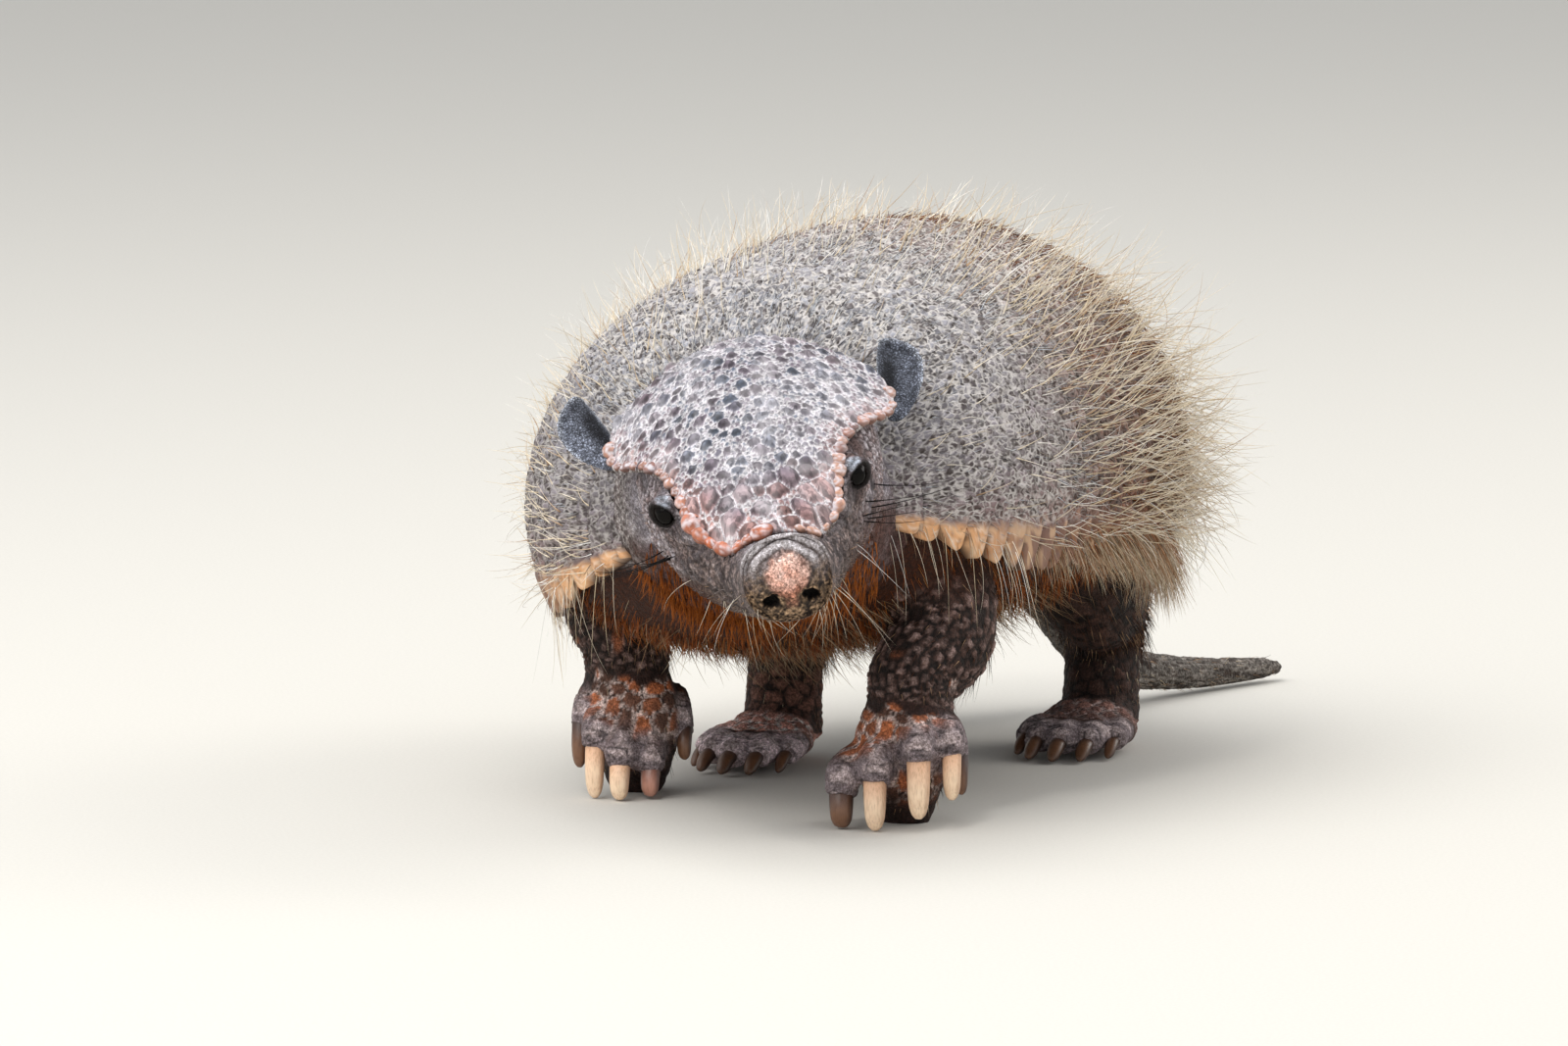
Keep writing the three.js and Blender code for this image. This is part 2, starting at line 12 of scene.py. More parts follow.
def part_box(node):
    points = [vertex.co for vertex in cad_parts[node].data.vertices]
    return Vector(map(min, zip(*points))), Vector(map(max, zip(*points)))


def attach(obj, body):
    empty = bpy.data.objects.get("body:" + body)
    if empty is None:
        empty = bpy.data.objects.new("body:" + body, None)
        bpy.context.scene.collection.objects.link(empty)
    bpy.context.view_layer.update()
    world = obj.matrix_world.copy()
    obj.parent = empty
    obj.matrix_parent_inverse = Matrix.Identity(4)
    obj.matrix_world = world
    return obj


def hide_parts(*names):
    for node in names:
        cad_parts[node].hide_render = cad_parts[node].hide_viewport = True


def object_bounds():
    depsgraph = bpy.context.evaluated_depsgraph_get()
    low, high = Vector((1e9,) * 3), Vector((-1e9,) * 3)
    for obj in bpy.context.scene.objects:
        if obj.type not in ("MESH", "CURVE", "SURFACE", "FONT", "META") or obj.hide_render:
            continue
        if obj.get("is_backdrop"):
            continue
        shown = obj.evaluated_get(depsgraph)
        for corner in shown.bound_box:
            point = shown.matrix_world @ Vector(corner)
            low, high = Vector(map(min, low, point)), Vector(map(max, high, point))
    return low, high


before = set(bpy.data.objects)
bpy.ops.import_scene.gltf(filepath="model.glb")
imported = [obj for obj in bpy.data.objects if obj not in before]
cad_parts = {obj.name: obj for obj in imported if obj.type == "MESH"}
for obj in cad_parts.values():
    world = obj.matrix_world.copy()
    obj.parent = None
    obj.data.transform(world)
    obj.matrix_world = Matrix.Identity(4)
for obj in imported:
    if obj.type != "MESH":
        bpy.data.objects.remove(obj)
CAD_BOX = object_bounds()
MM = 0.001
FINE = 1.0

# ------------------------------------------------------------------ numbers shared with the solids


def profile(*stops):
    """A smooth curve through a few (position, value) stops, for arrays."""
    xs, vs = np.array(stops, float).T
    last = len(xs) - 1
    ahead, behind = np.minimum(np.arange(last + 1) + 1, last), np.maximum(np.arange(last + 1) - 1, 0)
    slope = (vs[ahead] - vs[behind]) / (xs[ahead] - xs[behind])

    def at(x):
        x = np.clip(x, xs[0], xs[-1])
        i = np.clip(np.searchsorted(xs, x, side="left") - 1, 0, last - 1)
        span = xs[i + 1] - xs[i]
        q = (x - xs[i]) / span
        rise = vs[i] * (1 + 2 * q) * (1 - q) ** 2 + vs[i + 1] * q * q * (3 - 2 * q)
        return rise + slope[i] * span * q * (1 - q) ** 2 + slope[i + 1] * span * q * q * (q - 1)

    return at


# Trunk sections, from the collar, 0, to the rim over the tail, 1.
AXIS_X = profile((0, 13), (0.2, 6), (0.5, 0), (0.8, 1), (1, 3))
AXIS_Y = profile((0, -88), (0.25, -42), (0.5, 15), (0.75, 70), (1, 104))
AXIS_Z = profile((0, 92), (0.25, 92), (0.5, 92), (0.75, 87), (1, 67))
YAW = profile((0, 17), (0.25, 11), (0.5, 2), (0.75, -1), (1, -2))
ROLL = profile((0, 8), (0.5, 6), (1, 3))
TILT = profile((0, 10), (0.3, 0), (0.55, 2), (0.75, 20), (1, 84))
HALF_WIDTH = profile((0, 40), (0.1, 65), (0.25, 82), (0.5, 88), (0.75, 85), (0.9, 74), (1, 60))
RISE = profile((0, 42), (0.1, 58), (0.25, 71), (0.5, 77), (0.75, 80), (0.9, 66), (1, 52))
DROP = profile((0, 6), (0.12, 19), (0.25, 25), (0.75, 25), (1, 12))
BELLY = profile((0, 36), (0.25, 49), (0.6, 51), (0.75, 46), (1, 30))
FRONT_BULGE, REAR_BULGE = 4, 16
MARGIN_ANGLE = 112
MARGIN_TUCK = 0.22
NUCHAL_END, SCAPULAR_END, BAND_END, BANDS, SEAM = 0.042, 0.26, 0.6, 7, 0.5 / 300
THICKNESS, FLESH, LAP_UP, LAP_DOWN, TOOTH_ANGLE = 2.8, 4.4, 1.2, 0.9, 3.6
# The depth of the hair that the solids reach over.
COAT_DEPTH = profile((0, 0.5), (0.2, 2), (0.45, 5), (0.7, 7), (1, 6))

# The head's own frame: its origin is midway between the ear roots and the nose points to -Y.
HEAD_PLACE = (20.6, -101.4, 120)
HEAD_YAW, HEAD_PITCH, HEAD_ROLL = 29.5, 9, -11.5
HEAD_AHEAD = profile(
    (0, 90), (0.06, 89), (0.13, 84), (0.25, 71), (0.38, 57), (0.5, 40), (0.7, 13), (0.86, -3), (1, -12)
)
HEAD_WIDE = profile(
    (0, 0), (0.06, 11.5), (0.13, 13.4), (0.25, 15.2), (0.38, 21),
    (0.5, 28), (0.7, 36), (0.86, 35), (0.95, 24), (1, 0),
)
HEAD_CREST = profile(
    (0, -21), (0.06, -9.5), (0.13, -8), (0.25, -11), (0.38, -7),
    (0.5, 4), (0.7, 20), (0.86, 22), (0.95, 14), (1, -6),
)
HEAD_KEEL = profile(
    (0, -21), (0.06, -31.5), (0.13, -34), (0.25, -37), (0.5, -41.5),
    (0.7, -43), (0.86, -38), (0.95, -28), (1, -6),
)
HEAD_SQUARE = 2.3
SHIELD_REAR, SHIELD_FRONT, SHIELD_THICK = 18, -64.5, 3
SHIELD_REAR_BOW, SHIELD_FRONT_BOW = 8, 4
SHIELD_WIDE = profile(
    (0, 30), (0.08, 38.5), (0.2, 43), (0.3, 41.5), (0.45, 34),
    (0.6, 27.5), (0.73, 24.8), (0.85, 22.3), (0.92, 20), (1, 13.5),
)
SHIELD_CROWN = profile((0, 25.5), (0.22, 24), (0.46, 17), (0.71, 6.5), (0.89, -3.8), (1, -9))
SHIELD_SAG = profile((0, 9), (0.25, 20), (0.5, 11), (0.73, 5.5), (1, 5.5))
NOSE_HEIGHT = -21  # of the middle of the snout's flat end
HEAD_BEND = 2.2  # how far the brow lies to the right of the line from nape to nose
EYE_RADIUS, EYE_PLACE = 5, (27.6, -40, -6.2)
EAR = {"height": 27, "width": 15.5, "fullness": 0.35, "thickness": 1.9, "cup": 3.4, "bow": 1.5}
# Each ear: where its root is, then the degrees that it leans back, leans out and is twisted by.
EARS = {"left": ((41.5, 2, -5.5), 38, 20, 16), "right": ((-40, 2, -2), 36, 40, 18)}

# Feet: where they stand and which way they point. Each fore digit, from the inner side out, has across,
# ahead, the height of its claw's root, the claw's radius and the height of its tip; each hind digit has
# across, ahead and the claw's radius.
SIDES = {"left": 1, "right": -1}
FORE_FEET = {"left": ((54, -67), 25), "right": ((-47, -44), 20)}
HIND_FEET = {"left": ((41, 112), 4), "right": ((-38, 44), 2)}
FORE_DIGITS = {
    "left": [
        (-18.5, -6, 10, 3.8, 0.5), (-8.5, -11, 14.5, 3.6, 0.4), (4.5, -12, 21, 3.7, 4),
        (14.5, -7, 22, 3, 9), (17.5, 4, 19, 2.2, 9),
    ],
    "right": [
        (-16, 1, 19, 2.4, 11), (-6.5, -9, 8.5, 3.1, 1), (2.5, -13, 10.5, 3.3, 0.4),
        (10.5, -9, 15.5, 3.2, 0.4), (16, -1, 21, 2.6, 8.5),
    ],
}
HIND_DIGITS = [(-13, -18, 2.6), (-7, -26, 3.1), (0.5, -28, 3.2), (8, -25, 3), (13.5, -16, 2.5)]
SHOULDER = {"x": 45, "y": -37, "z": 78, "bow": 8, "bend": 2}
HIP = {"x": 42, "y": 70, "z": 84, "bow": 6, "bend": 0}
TAIL = [(3, 112, 63), (5, 148, 45), (10, 184, 17), (20, 226, 7.5), (36, 274, 4.4)]
TAIL_RADIUS = profile((0, 11.5), (0.25, 9.5), (0.6, 6.8), (0.95, 3.6), (1, 2))

# ------------------------------------------------------------------ small tools


def smooth(x, low, high):
    """0 up to low, 1 from high, and an even rise between them."""
    q = np.clip((x - low) / (high - low), 0, 1)
    return q * q * (3 - 2 * q)


def fade(x, low, high):
    """1 up to low, 0 from high."""
    return 1 - smooth(x, low, high)


def bell(x, middle, width):
    return np.exp(-(((x - middle) / width) ** 2))


def turn(axis, degrees):
    return np.array(Matrix.Rotation(math.radians(degrees), 3, axis))


def unit(vectors):
    return vectors / np.maximum(np.linalg.norm(vectors, axis=-1, keepdims=True), 1e-9)


def stack(*parts):
    """Arrays as the last axis of one."""
    return np.stack(parts, -1)


def mix(a, b, share):
    share = np.asarray(share)[..., None]
    return np.asarray(a) * (1 - share) + np.asarray(b) * share


def layered(colour, *layers):
    """A colour under layers of others, each a (tone, share) pair, laid in order."""
    for tone, share in layers:
        colour = mix(colour, tone, share)
    return colour


def linear(r, g, b):
    """A display colour, 0 to 255 a channel, as linear light."""
    c = np.array([r, g, b]) / 255
    return np.where(c < 0.04045, c / 12.92, ((c + 0.055) / 1.055) ** 2.4)


def noise(points, size, seed=0):
    """Smooth noise from -1 to 1 with features of about that size."""
    table = np.random.default_rng(seed).uniform(-1, 1, 4096)
    p = points / size
    cell = np.floor(p).astype(np.int64)
    f = p - cell
    f = f * f * (3 - 2 * f)
    total = np.zeros(len(points))
    for corner in np.ndindex(2, 2, 2):
        c = cell + corner
        key = (c[:, 0] * 73856093 ^ c[:, 1] * 19349663 ^ c[:, 2] * 83492791) & 4095
        total += np.where(corner, f, 1 - f).prod(axis=1) * table[key]
    return total


def patches(points, size, seed, low, high):
    """Random patches of about that size, 1 where the noise is above high and 0 where it is below low."""
    return smooth(noise(points, size, seed), low, high)


def dice(*keys):
    """A repeatable random number, 0 to 1, for each set of whole numbers."""
    h = np.zeros_like(keys[0], dtype=np.int64)
    for k, prime in zip(keys, (73856093, 19349663, 83492791, 49979687)):
        h ^= k.astype(np.int64) * prime
    h = (h ^ (h >> 13)) * 1274126177
    return ((h ^ (h >> 16)) & 0xFFFF) / 65535


def grid_faces(rows, columns, wrap=False):
    """Quads over a grid of points stored row by row."""
    r, c = np.meshgrid(np.arange(rows - 1), np.arange(columns if wrap else columns - 1), indexing="ij")
    a, b = r * columns + c, r * columns + (c + 1) % columns
    return stack(a, b, b + columns, a + columns).reshape(-1, 4)


def grid_border(rows, columns):
    """The points along the four sides of a grid, in order round it."""
    across, along = np.arange(columns - 1), np.arange(rows - 1) * columns
    last = rows * columns - 1
    return np.concatenate([across, along + columns - 1, last - across, (rows - 1) * columns - along])


def skirt(border, mate):
    """Quads between a closed row of points and the row of their mates."""
    return stack(np.roll(border, -1), border, mate, np.roll(mate, -1))


def rings_grid(low, high, rings, around):
    """For each point of a tube of rings, its place along the tube and its angle round it."""
    angles = np.linspace(0, 2 * np.pi, around, endpoint=False)
    along, angle = np.meshgrid(np.linspace(low, high, rings), angles, indexing="ij")
    return along.ravel(), angle.ravel()


def on_sphere(a, b):
    """Points of the unit sphere, a from its pole and b round it."""
    return stack(np.sin(a) * np.cos(b), np.sin(a) * np.sin(b), np.cos(a))


def capped(rows, columns):
    """Faces of a tube of rings whose ends are closed by quads across the small last rings."""
    half = columns // 2
    i = np.arange(half - 1)
    lid = stack(i, i + 1, columns - 2 - i, columns - 1 - i)
    far = lid[:, ::-1] + (rows - 1) * columns
    return np.concatenate([grid_faces(rows, columns, wrap=True), lid[:, ::-1], far[:, ::-1]])


def packed(points):
    """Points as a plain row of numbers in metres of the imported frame."""
    return ((points + PLACE) * MM).astype(np.float32).ravel()


def set_tint(mesh, tint):
    rgba = np.concatenate([np.clip(tint, 0, 1), np.ones((len(tint), 1))], 1)
    layer = mesh.attributes.new("tint", "FLOAT_COLOR", "POINT")
    layer.data.foreach_set("color", rgba.astype(np.float32).ravel())


def make(name, points, faces, tint=None, material=None, values=None, uv=None):
    """A mesh object from points of the animal's frame, with a colour and other values at each point."""
    mesh = bpy.data.meshes.new(name)
    mesh.vertices.add(len(points))
    mesh.vertices.foreach_set("co", packed(points))
    mesh.loops.add(faces.size)
    mesh.loops.foreach_set("vertex_index", faces.ravel().astype(np.int32))
    mesh.polygons.add(len(faces))
    mesh.polygons.foreach_set("loop_start", np.arange(len(faces), dtype=np.int32) * faces.shape[1])
    mesh.update(calc_edges=True)
    mesh.shade_smooth()
    if tint is not None:
        set_tint(mesh, tint)
    for key, value in (values or {}).items():
        mesh.attributes.new(key, "FLOAT", "POINT").data.foreach_set("value", value.astype(np.float32))
    if uv is not None:
        layer = mesh.uv_layers.new(name="OFBake")
        layer.data.foreach_set("uv", uv[faces.ravel()].astype(np.float32).ravel())
    if material:
        mesh.materials.append(material)
    thing = bpy.data.objects.new(name, mesh)
    bpy.context.scene.collection.objects.link(thing)
    return thing


def add_chart(thing, chart):
    """Keeps each point's place on the flat chart that its scutes were laid out on."""
    layer = thing.data.attributes.new("chart", "FLOAT_VECTOR", "POINT")
    layer.data.foreach_set("vector", chart.astype(np.float32).ravel())


def dress(thing, slot, *nodes):
    """Places a finished piece on the animal, in place of the solids that it stands for."""
    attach(thing, "root")
    if nodes:
        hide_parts(*nodes)
    return thing


# ------------------------------------------------------------------ forms shared with the solids


def section_point(t, across, up):
    """A point of a trunk section: across and up lie in the section's leaning plane."""
    tilt, roll, yaw = (np.radians(f(t)) for f in (TILT, ROLL, YAW))
    x, y, z = across, up * np.sin(tilt), up * np.cos(tilt)
    x, z = x * np.cos(roll) - z * np.sin(roll), x * np.sin(roll) + z * np.cos(roll)
    x, y = x * np.cos(yaw) - y * np.sin(yaw), x * np.sin(yaw) + y * np.cos(yaw)
    return stack(x + AXIS_X(t), y + AXIS_Y(t), z + AXIS_Z(t))


def shell_point(t, phi, out):
    """The shell's surface: phi in degrees from the midline of the back, out the height above it."""
    angle = np.radians(np.abs(phi))
    wide = HALF_WIDTH(t) + out
    below = np.maximum(np.abs(phi) - 90, 0) / (MARGIN_ANGLE - 90)
    high = np.abs(phi) <= 90
    across = np.where(high, wide * np.sin(angle), wide - MARGIN_TUCK * DROP(t) * below**2)
    up = np.where(high, (RISE(t) + out) * np.cos(angle), -DROP(t) * below)
    return section_point(t, np.sign(phi) * across, up)


HEAD_TURN = turn("Z", HEAD_YAW) @ turn("X", HEAD_PITCH) @ turn("Y", HEAD_ROLL)


def head_bend(points):
    """How far each point is moved by the head's bend to one side."""
    y = points[:, 1]
    return stack(HEAD_BEND * bell(y, -42, 28), 0 * y, 0 * y)


def from_head(points):
    return (points - head_bend(points)) @ HEAD_TURN.T + HEAD_PLACE


def to_head(points):
    straight = (points - HEAD_PLACE) @ HEAD_TURN
    return straight + head_bend(straight)


def head_point(t, angle, under=0):
    """The head's side, in the head's frame: t runs back from the nose, under is the depth below it."""
    high, low = HEAD_CREST(t), HEAD_KEEL(t)
    c, s = (np.sign(w) * np.abs(w) ** (2 / HEAD_SQUARE) for w in (np.cos(angle), np.sin(angle)))
    z = (high + low) / 2 + ((high - low) / 2 - under) * s
    return stack((HEAD_WIDE(t) - under) * c, under - HEAD_AHEAD(t), z)


def shield_point(u, v, under):
    """The head shield: u from -1 to 1 across, v from 0 at its rear to 1 at its front, in the head's frame."""
    bow = -((1 - v) ** 2) * SHIELD_REAR_BOW * u * u + v**3 * SHIELD_FRONT_BOW * (u * u - 1)
    y = SHIELD_REAR + (SHIELD_FRONT - SHIELD_REAR) * v + bow
    return stack(u * SHIELD_WIDE(v), y, SHIELD_CROWN(v) - SHIELD_SAG(v) * u * u - under)


def shield_place(points):
    """Where on the shield points of the head's frame lie, looking straight down on it."""
    x, y = points[:, 0], points[:, 1]
    v = (SHIELD_REAR - y) / (SHIELD_REAR - SHIELD_FRONT)
    for _ in range(4):
        at = np.clip(v, 0, 1)
        u = x / SHIELD_WIDE(at)
        w = np.clip(u, -1, 1) ** 2
        bow = -((1 - at) ** 2) * SHIELD_REAR_BOW * w + at**3 * SHIELD_FRONT_BOW * (w - 1)
        v = (SHIELD_REAR + bow - y) / (SHIELD_REAR - SHIELD_FRONT)
    return u, v


def curve(points, t):
    """A centripetal curve through the points, at positions t from 0 to 1, and its direction there."""
    p = np.array(points, float)
    p = np.vstack([2 * p[0] - p[1], p, 2 * p[-1] - p[-2]])
    knot = np.concatenate([[0], np.cumsum(np.linalg.norm(np.diff(p, axis=0), axis=1) ** 0.5)])
    spot = np.clip(t, 0, 1) * (len(points) - 1)
    i = np.minimum(spot.astype(int), len(points) - 2)
    k = [knot[i + j] for j in range(4)]

    def at(x):
        def blend(a, b, ka, kb):
            q = ((x - ka) / (kb - ka))[:, None]
            return a * (1 - q) + b * q

        a = [blend(p[i + j], p[i + j + 1], k[j], k[j + 1]) for j in range(3)]
        b = [blend(a[j], a[j + 1], k[j], k[j + 2]) for j in range(2)]
        return blend(b[0], b[1], k[1], k[2])

    x = k[1] + (spot - i) * (k[2] - k[1])
    step = 1e-3 * (k[2] - k[1])
    return at(x), unit(at(x + step) - at(x - step))


def square_to(forward):
    """The directions sideways and to the front of a body that runs forward."""
    side = unit(np.array([1.0, 0, 0]) - forward * forward[:, :1])
    return side, np.cross(forward, side)


def loft(points, across, deep, around, along):
    """A closed round-sectioned body along a curve: points and quads."""
    t = np.concatenate([[0], np.linspace(0, 1, along), [1]])
    middle, forward = curve(points, t)
    side, front = square_to(forward)
    angle = np.linspace(0, 2 * np.pi, around, endpoint=False)
    closed = np.ones(len(t))
    closed[[0, -1]] = 0
    wide, thick = (closed * across(t))[:, None, None], (closed * deep(t))[:, None, None]
    ring = side[:, None] * wide * np.cos(angle)[None, :, None]
    ring = ring + front[:, None] * thick * np.sin(angle)[None, :, None]
    return (middle[:, None] + ring).reshape(-1, 3), grid_faces(len(t), around, wrap=True)


def joined(pieces):
    """Several (points, faces) as one."""
    points, faces, base = [], [], 0
    for p, f in pieces:
        points.append(p)
        faces.append(f + base)
        base += len(p)
    return np.concatenate(points), np.concatenate(faces)


def solid_place():
    """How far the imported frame's origin is from the animal's: the lowest corner of the fourth band tells."""
    first, last = (SCAPULAR_END + (BAND_END - SCAPULAR_END) / BANDS * i for i in (3, 4))
    phi = np.linspace(-MARGIN_ANGLE, MARGIN_ANGLE, 17)
    edges = []
    for t, reach, proud in ((first, 1, -LAP_DOWN), (last - SEAM, 1 + TOOTH_ANGLE / MARGIN_ANGLE, LAP_UP)):
        share = np.full(17, t)
        edges += [shell_point(share, phi * reach, out) for out in (proud + COAT_DEPTH(share), -THICKNESS)]
    return np.array(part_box("shell_band_4")[0]) / MM - np.concatenate(edges).min(axis=0)


PLACE = solid_place()

# ------------------------------------------------------------------ scute and scale patterns


def cells(across, along, big, small, seed, big_weight=0.35, wander=0.32):
    """A pavement of large figures set in small ones, over a flat chart in millimetres.

    big and small are (pitch across, pitch along). Gives for each point the distance to its cell's edge, a
    random number for the cell, and whether the cell is a large figure.
    """
    best = np.full(len(across), 1e9)
    second = best.copy()
    label = np.zeros(len(across))
    large = np.zeros(len(across))
    shape = big[0] / big[1]

    def offer(distance, number, is_large):
        nonlocal best, second, label, large
        nearer = distance < best
        second = np.where(nearer, best, np.minimum(second, distance))
        label = np.where(nearer, number, label)
        large = np.where(nearer, is_large, large)
        best = np.where(nearer, distance, best)

    def beyond(off_x, off_y, number):
        """How far outside a large figure a place is, from its offset to the figure's middle."""
        size = big_weight * min(big) * (0.7 + 0.6 * number)
        return np.hypot(off_x / max(shape, 1), off_y * min(shape, 1)) - size

    def seeds(pitch, reach, salt):
        """The middles of the figures near each point, and a random number for each."""
        row = np.floor(along / pitch[1])
        for j in range(-reach, reach + 1):
            r = row + j
            shift = 0.5 * (r % 2)
            column = np.floor(across / pitch[0] - shift)
            for i in range(-reach, reach + 1):
                c = column + i
                n = [dice(c, r, np.full_like(c, seed + salt + k)) for k in range(3)]
                x = (c + 0.5 + shift + wander * (n[0] - 0.5) * 2) * pitch[0]
                y = (r + 0.5 + wander * (n[1] - 0.5) * 2) * pitch[1]
                yield x, y, n[2]

    centres = list(seeds(big, 1, 0))
    for x, y, number in centres:
        offer(beyond(across - x, along - y, number), number, 1)
    if small:
        for x, y, number in seeds(small, 2, 50):
            clear = np.full(len(across), 1e9)
            for big_x, big_y, big_number in centres:
                clear = np.minimum(clear, beyond(x - big_x, y - big_y, big_number))
            room = np.where(clear > 0.25 * min(small), 0, 1e6)
            offer(np.hypot(across - x, along - y) + room, number, 0)
    return (second - best) / 2, label, large


# ------------------------------------------------------------------ materials


class Nodes:
    """A short way to write a shader's node tree."""

    def __init__(self, name):
        self.material = bpy.data.materials.new(name)
        self.material.use_nodes = True
        self.tree = self.material.node_tree
        self.shader = self.tree.nodes["Principled BSDF"]

    def node(self, kind, inputs=None, **settings):
        made = self.tree.nodes.new("ShaderNode" + kind)
        for key, value in settings.items():
            setattr(made, key, value)
        for key, value in (inputs or {}).items():
            socket = made.inputs[key]
            if isinstance(value, bpy.types.NodeSocket):
                self.tree.links.new(value, socket)
            else:
                socket.default_value = value
        return made

    def values(self, name, output="Fac"):
        return self.node("Attribute", attribute_name=name).outputs[output]

    def math(self, operation, a, b=0.5, clamp=False):
        return self.node("Math", {0: a, 1: b}, operation=operation, use_clamp=clamp).outputs[0]

    def times(self, a, b):
        return self.math("MULTIPLY", a, b)

    def ramp(self, value, low, high, to=(0, 1)):
        inputs = {"Value": value, "From Min": low, "From Max": high, "To Min": to[0], "To Max": to[1]}
        return self.node("MapRange", inputs, interpolation_type="SMOOTHSTEP").outputs[0]

    def blend(self, share, a, b, kind="MIX"):
        made = self.node("Mix", data_type="RGBA", blend_type=kind)
        for socket, value in ((made.inputs[0], share), (made.inputs[6], a), (made.inputs[7], b)):
            if isinstance(value, bpy.types.NodeSocket):
                self.tree.links.new(value, socket)
            else:
                socket.default_value = value if socket == made.inputs[0] else (*value, 1)
        return made.outputs[2]

    def place(self, stretch=(1, 1, 1)):
        """Position in millimetres, stretched along each axis."""
        at = self.node("TexCoord").outputs["Object"]
        return self.node("Mapping", {"Vector": at, "Scale": tuple(1000 * k for k in stretch)}).outputs[0]

    def grain(self, size, detail=3, at=None):
        inputs = {"Vector": at or self.place(), "Scale": 1 / size, "Detail": detail, "Roughness": 0.6}
        return self.node("TexNoise", inputs).outputs["Fac"]

    def cracks(self, size, at=None):
        inputs = {"Vector": at or self.place(), "Scale": 1 / size}
        return self.node("TexVoronoi", inputs, feature="DISTANCE_TO_EDGE").outputs["Distance"]

    def speckle(self, size, at=None, output="Color"):
        inputs = {"Vector": at or self.place(), "Scale": 1 / size}
        return self.node("TexVoronoi", inputs).outputs[output]

    def bump(self, height, depth, below=None):
        """A bump of the given depth in millimetres, over another."""
        inputs = {"Height": height, "Strength": 1, "Distance": depth * MM}
        if below:
            inputs["Normal"] = below
        return self.node("Bump", inputs).outputs[0]

    def finish(self, colour, roughness, normal=None, **fixed):
        self.tree.links.new(colour, self.shader.inputs["Base Color"])
        if isinstance(roughness, bpy.types.NodeSocket):
            self.tree.links.new(roughness, self.shader.inputs["Roughness"])
        else:
            self.shader.inputs["Roughness"].default_value = roughness
        if normal:
            self.tree.links.new(normal, self.shader.inputs["Normal"])
        for key, value in fixed.items():
            self.shader.inputs[key.replace("_", " ")].default_value = value
        return self.material


def skin_finish():
    """Wrinkled, faintly scaly hide; the colour comes with the mesh."""
    n = Nodes("hide")
    tint = n.values("tint", "Color")
    pores = n.cracks(0.75)
    lines = n.cracks(2.1, n.place((1, 1, 0.45)))
    mottled = n.blend(n.ramp(n.grain(2.2), 0.35, 0.7), (0.55, 0.53, 0.52), (1.25, 1.24, 1.25))
    flecks = n.blend(n.ramp(n.grain(0.75, 2), 0.4, 0.62), (0.6, 0.57, 0.55), (1.3, 1.3, 1.31))
    colour = n.blend(0.9, n.blend(0.75, tint, mottled, "MULTIPLY"), flecks, "MULTIPLY")
    colour = n.blend(n.ramp(pores, 0.0, 0.16, (0.35, 0)), colour, (0.02, 0.014, 0.012))
    fine = n.bump(n.ramp(pores, 0, 0.3), 0.1)
    wrinkled = n.bump(n.ramp(lines, 0, 0.12), 0.16, fine)
    rough = n.ramp(n.grain(1.4), 0.3, 0.7, (0.62, 0.8))
    return n.finish(colour, rough, n.bump(n.grain(0.5), 0.12, wrinkled), Specular_IOR_Level=0.22)


def scute_finish(name, granule, net, net_share, cover, dark, pits):
    """Horny scutes: smooth figures with granules between, or over them too, in a pale net of dead skin."""
    n = Nodes(name)
    tint = n.values("tint", "Color")
    knob = n.values("knob")
    at = n.values("chart", "Vector")
    wobble = n.node("TexNoise", {"Vector": at, "Scale": 0.5}).outputs["Color"]
    drift = n.node("VectorMath", {0: at, 1: wobble}, operation="ADD").outputs[0]
    grain_edge = n.cracks(granule, drift)
    shade = n.node("SeparateColor", {0: n.speckle(granule, drift)}).outputs[0]
    fine = n.values("fine")
    grains = n.times(fine, 0.9)
    toned = n.blend(grains, tint, n.blend(n.ramp(shade, 0, 1), dark, (1.4, 1.38, 1.36)), "MULTIPLY")
    outside = n.times(n.ramp(knob, 0.35, 0.7, (1, cover)), fine)
    fray = n.ramp(n.grain(2.5), 0.3, 0.62)
    ring = n.times(n.ramp(grain_edge, 0.07, 0.25, (1, 0)), outside)
    groove = n.times(n.ramp(knob, 0.08, 0.3, (1, 0)), 0.35)
    share = n.times(n.values("pale"), net_share)
    pale = n.times(n.math("MAXIMUM", ring, groove), n.times(fray, share))
    colour = n.blend(pale, toned, net)
    hole = n.ramp(n.speckle(granule * 1.15, at, "Distance"), 0.12, 0.36, (pits, 0))
    colour = n.blend(n.times(hole, fine), colour, (0.022, 0.013, 0.009))
    dust = n.times(n.ramp(n.grain(9), 0.45, 0.75, (0, 0.2)), n.values("pale"))
    colour = n.blend(dust, colour, net)
    streak = n.grain(0.6, at=n.place((1, 0.25, 1)))
    base = n.bump(n.times(n.ramp(grain_edge, 0, 0.35), outside), 0.4)
    normal = n.bump(streak, 0.1, base)
    rough = n.ramp(n.grain(1.1), 0.3, 0.7, (0.46, 0.7))
    return n.finish(colour, rough, normal, Specular_IOR_Level=0.3)


def ear_finish():
    n = Nodes("ear_grain")
    beads = n.cracks(0.85)
    tint = n.values("tint", "Color")
    colour = n.blend(n.ramp(n.grain(0.6, 4), 0.45, 0.6), tint, n.blend(1, tint, (2.6, 2.65, 2.7), "MULTIPLY"))
    colour = n.blend(n.ramp(beads, 0.0, 0.2, (0.8, 0)), colour, (0.012, 0.012, 0.016))
    return n.finish(colour, 0.72, n.bump(n.ramp(beads, 0, 0.4), 0.3), Specular_IOR_Level=0.2)


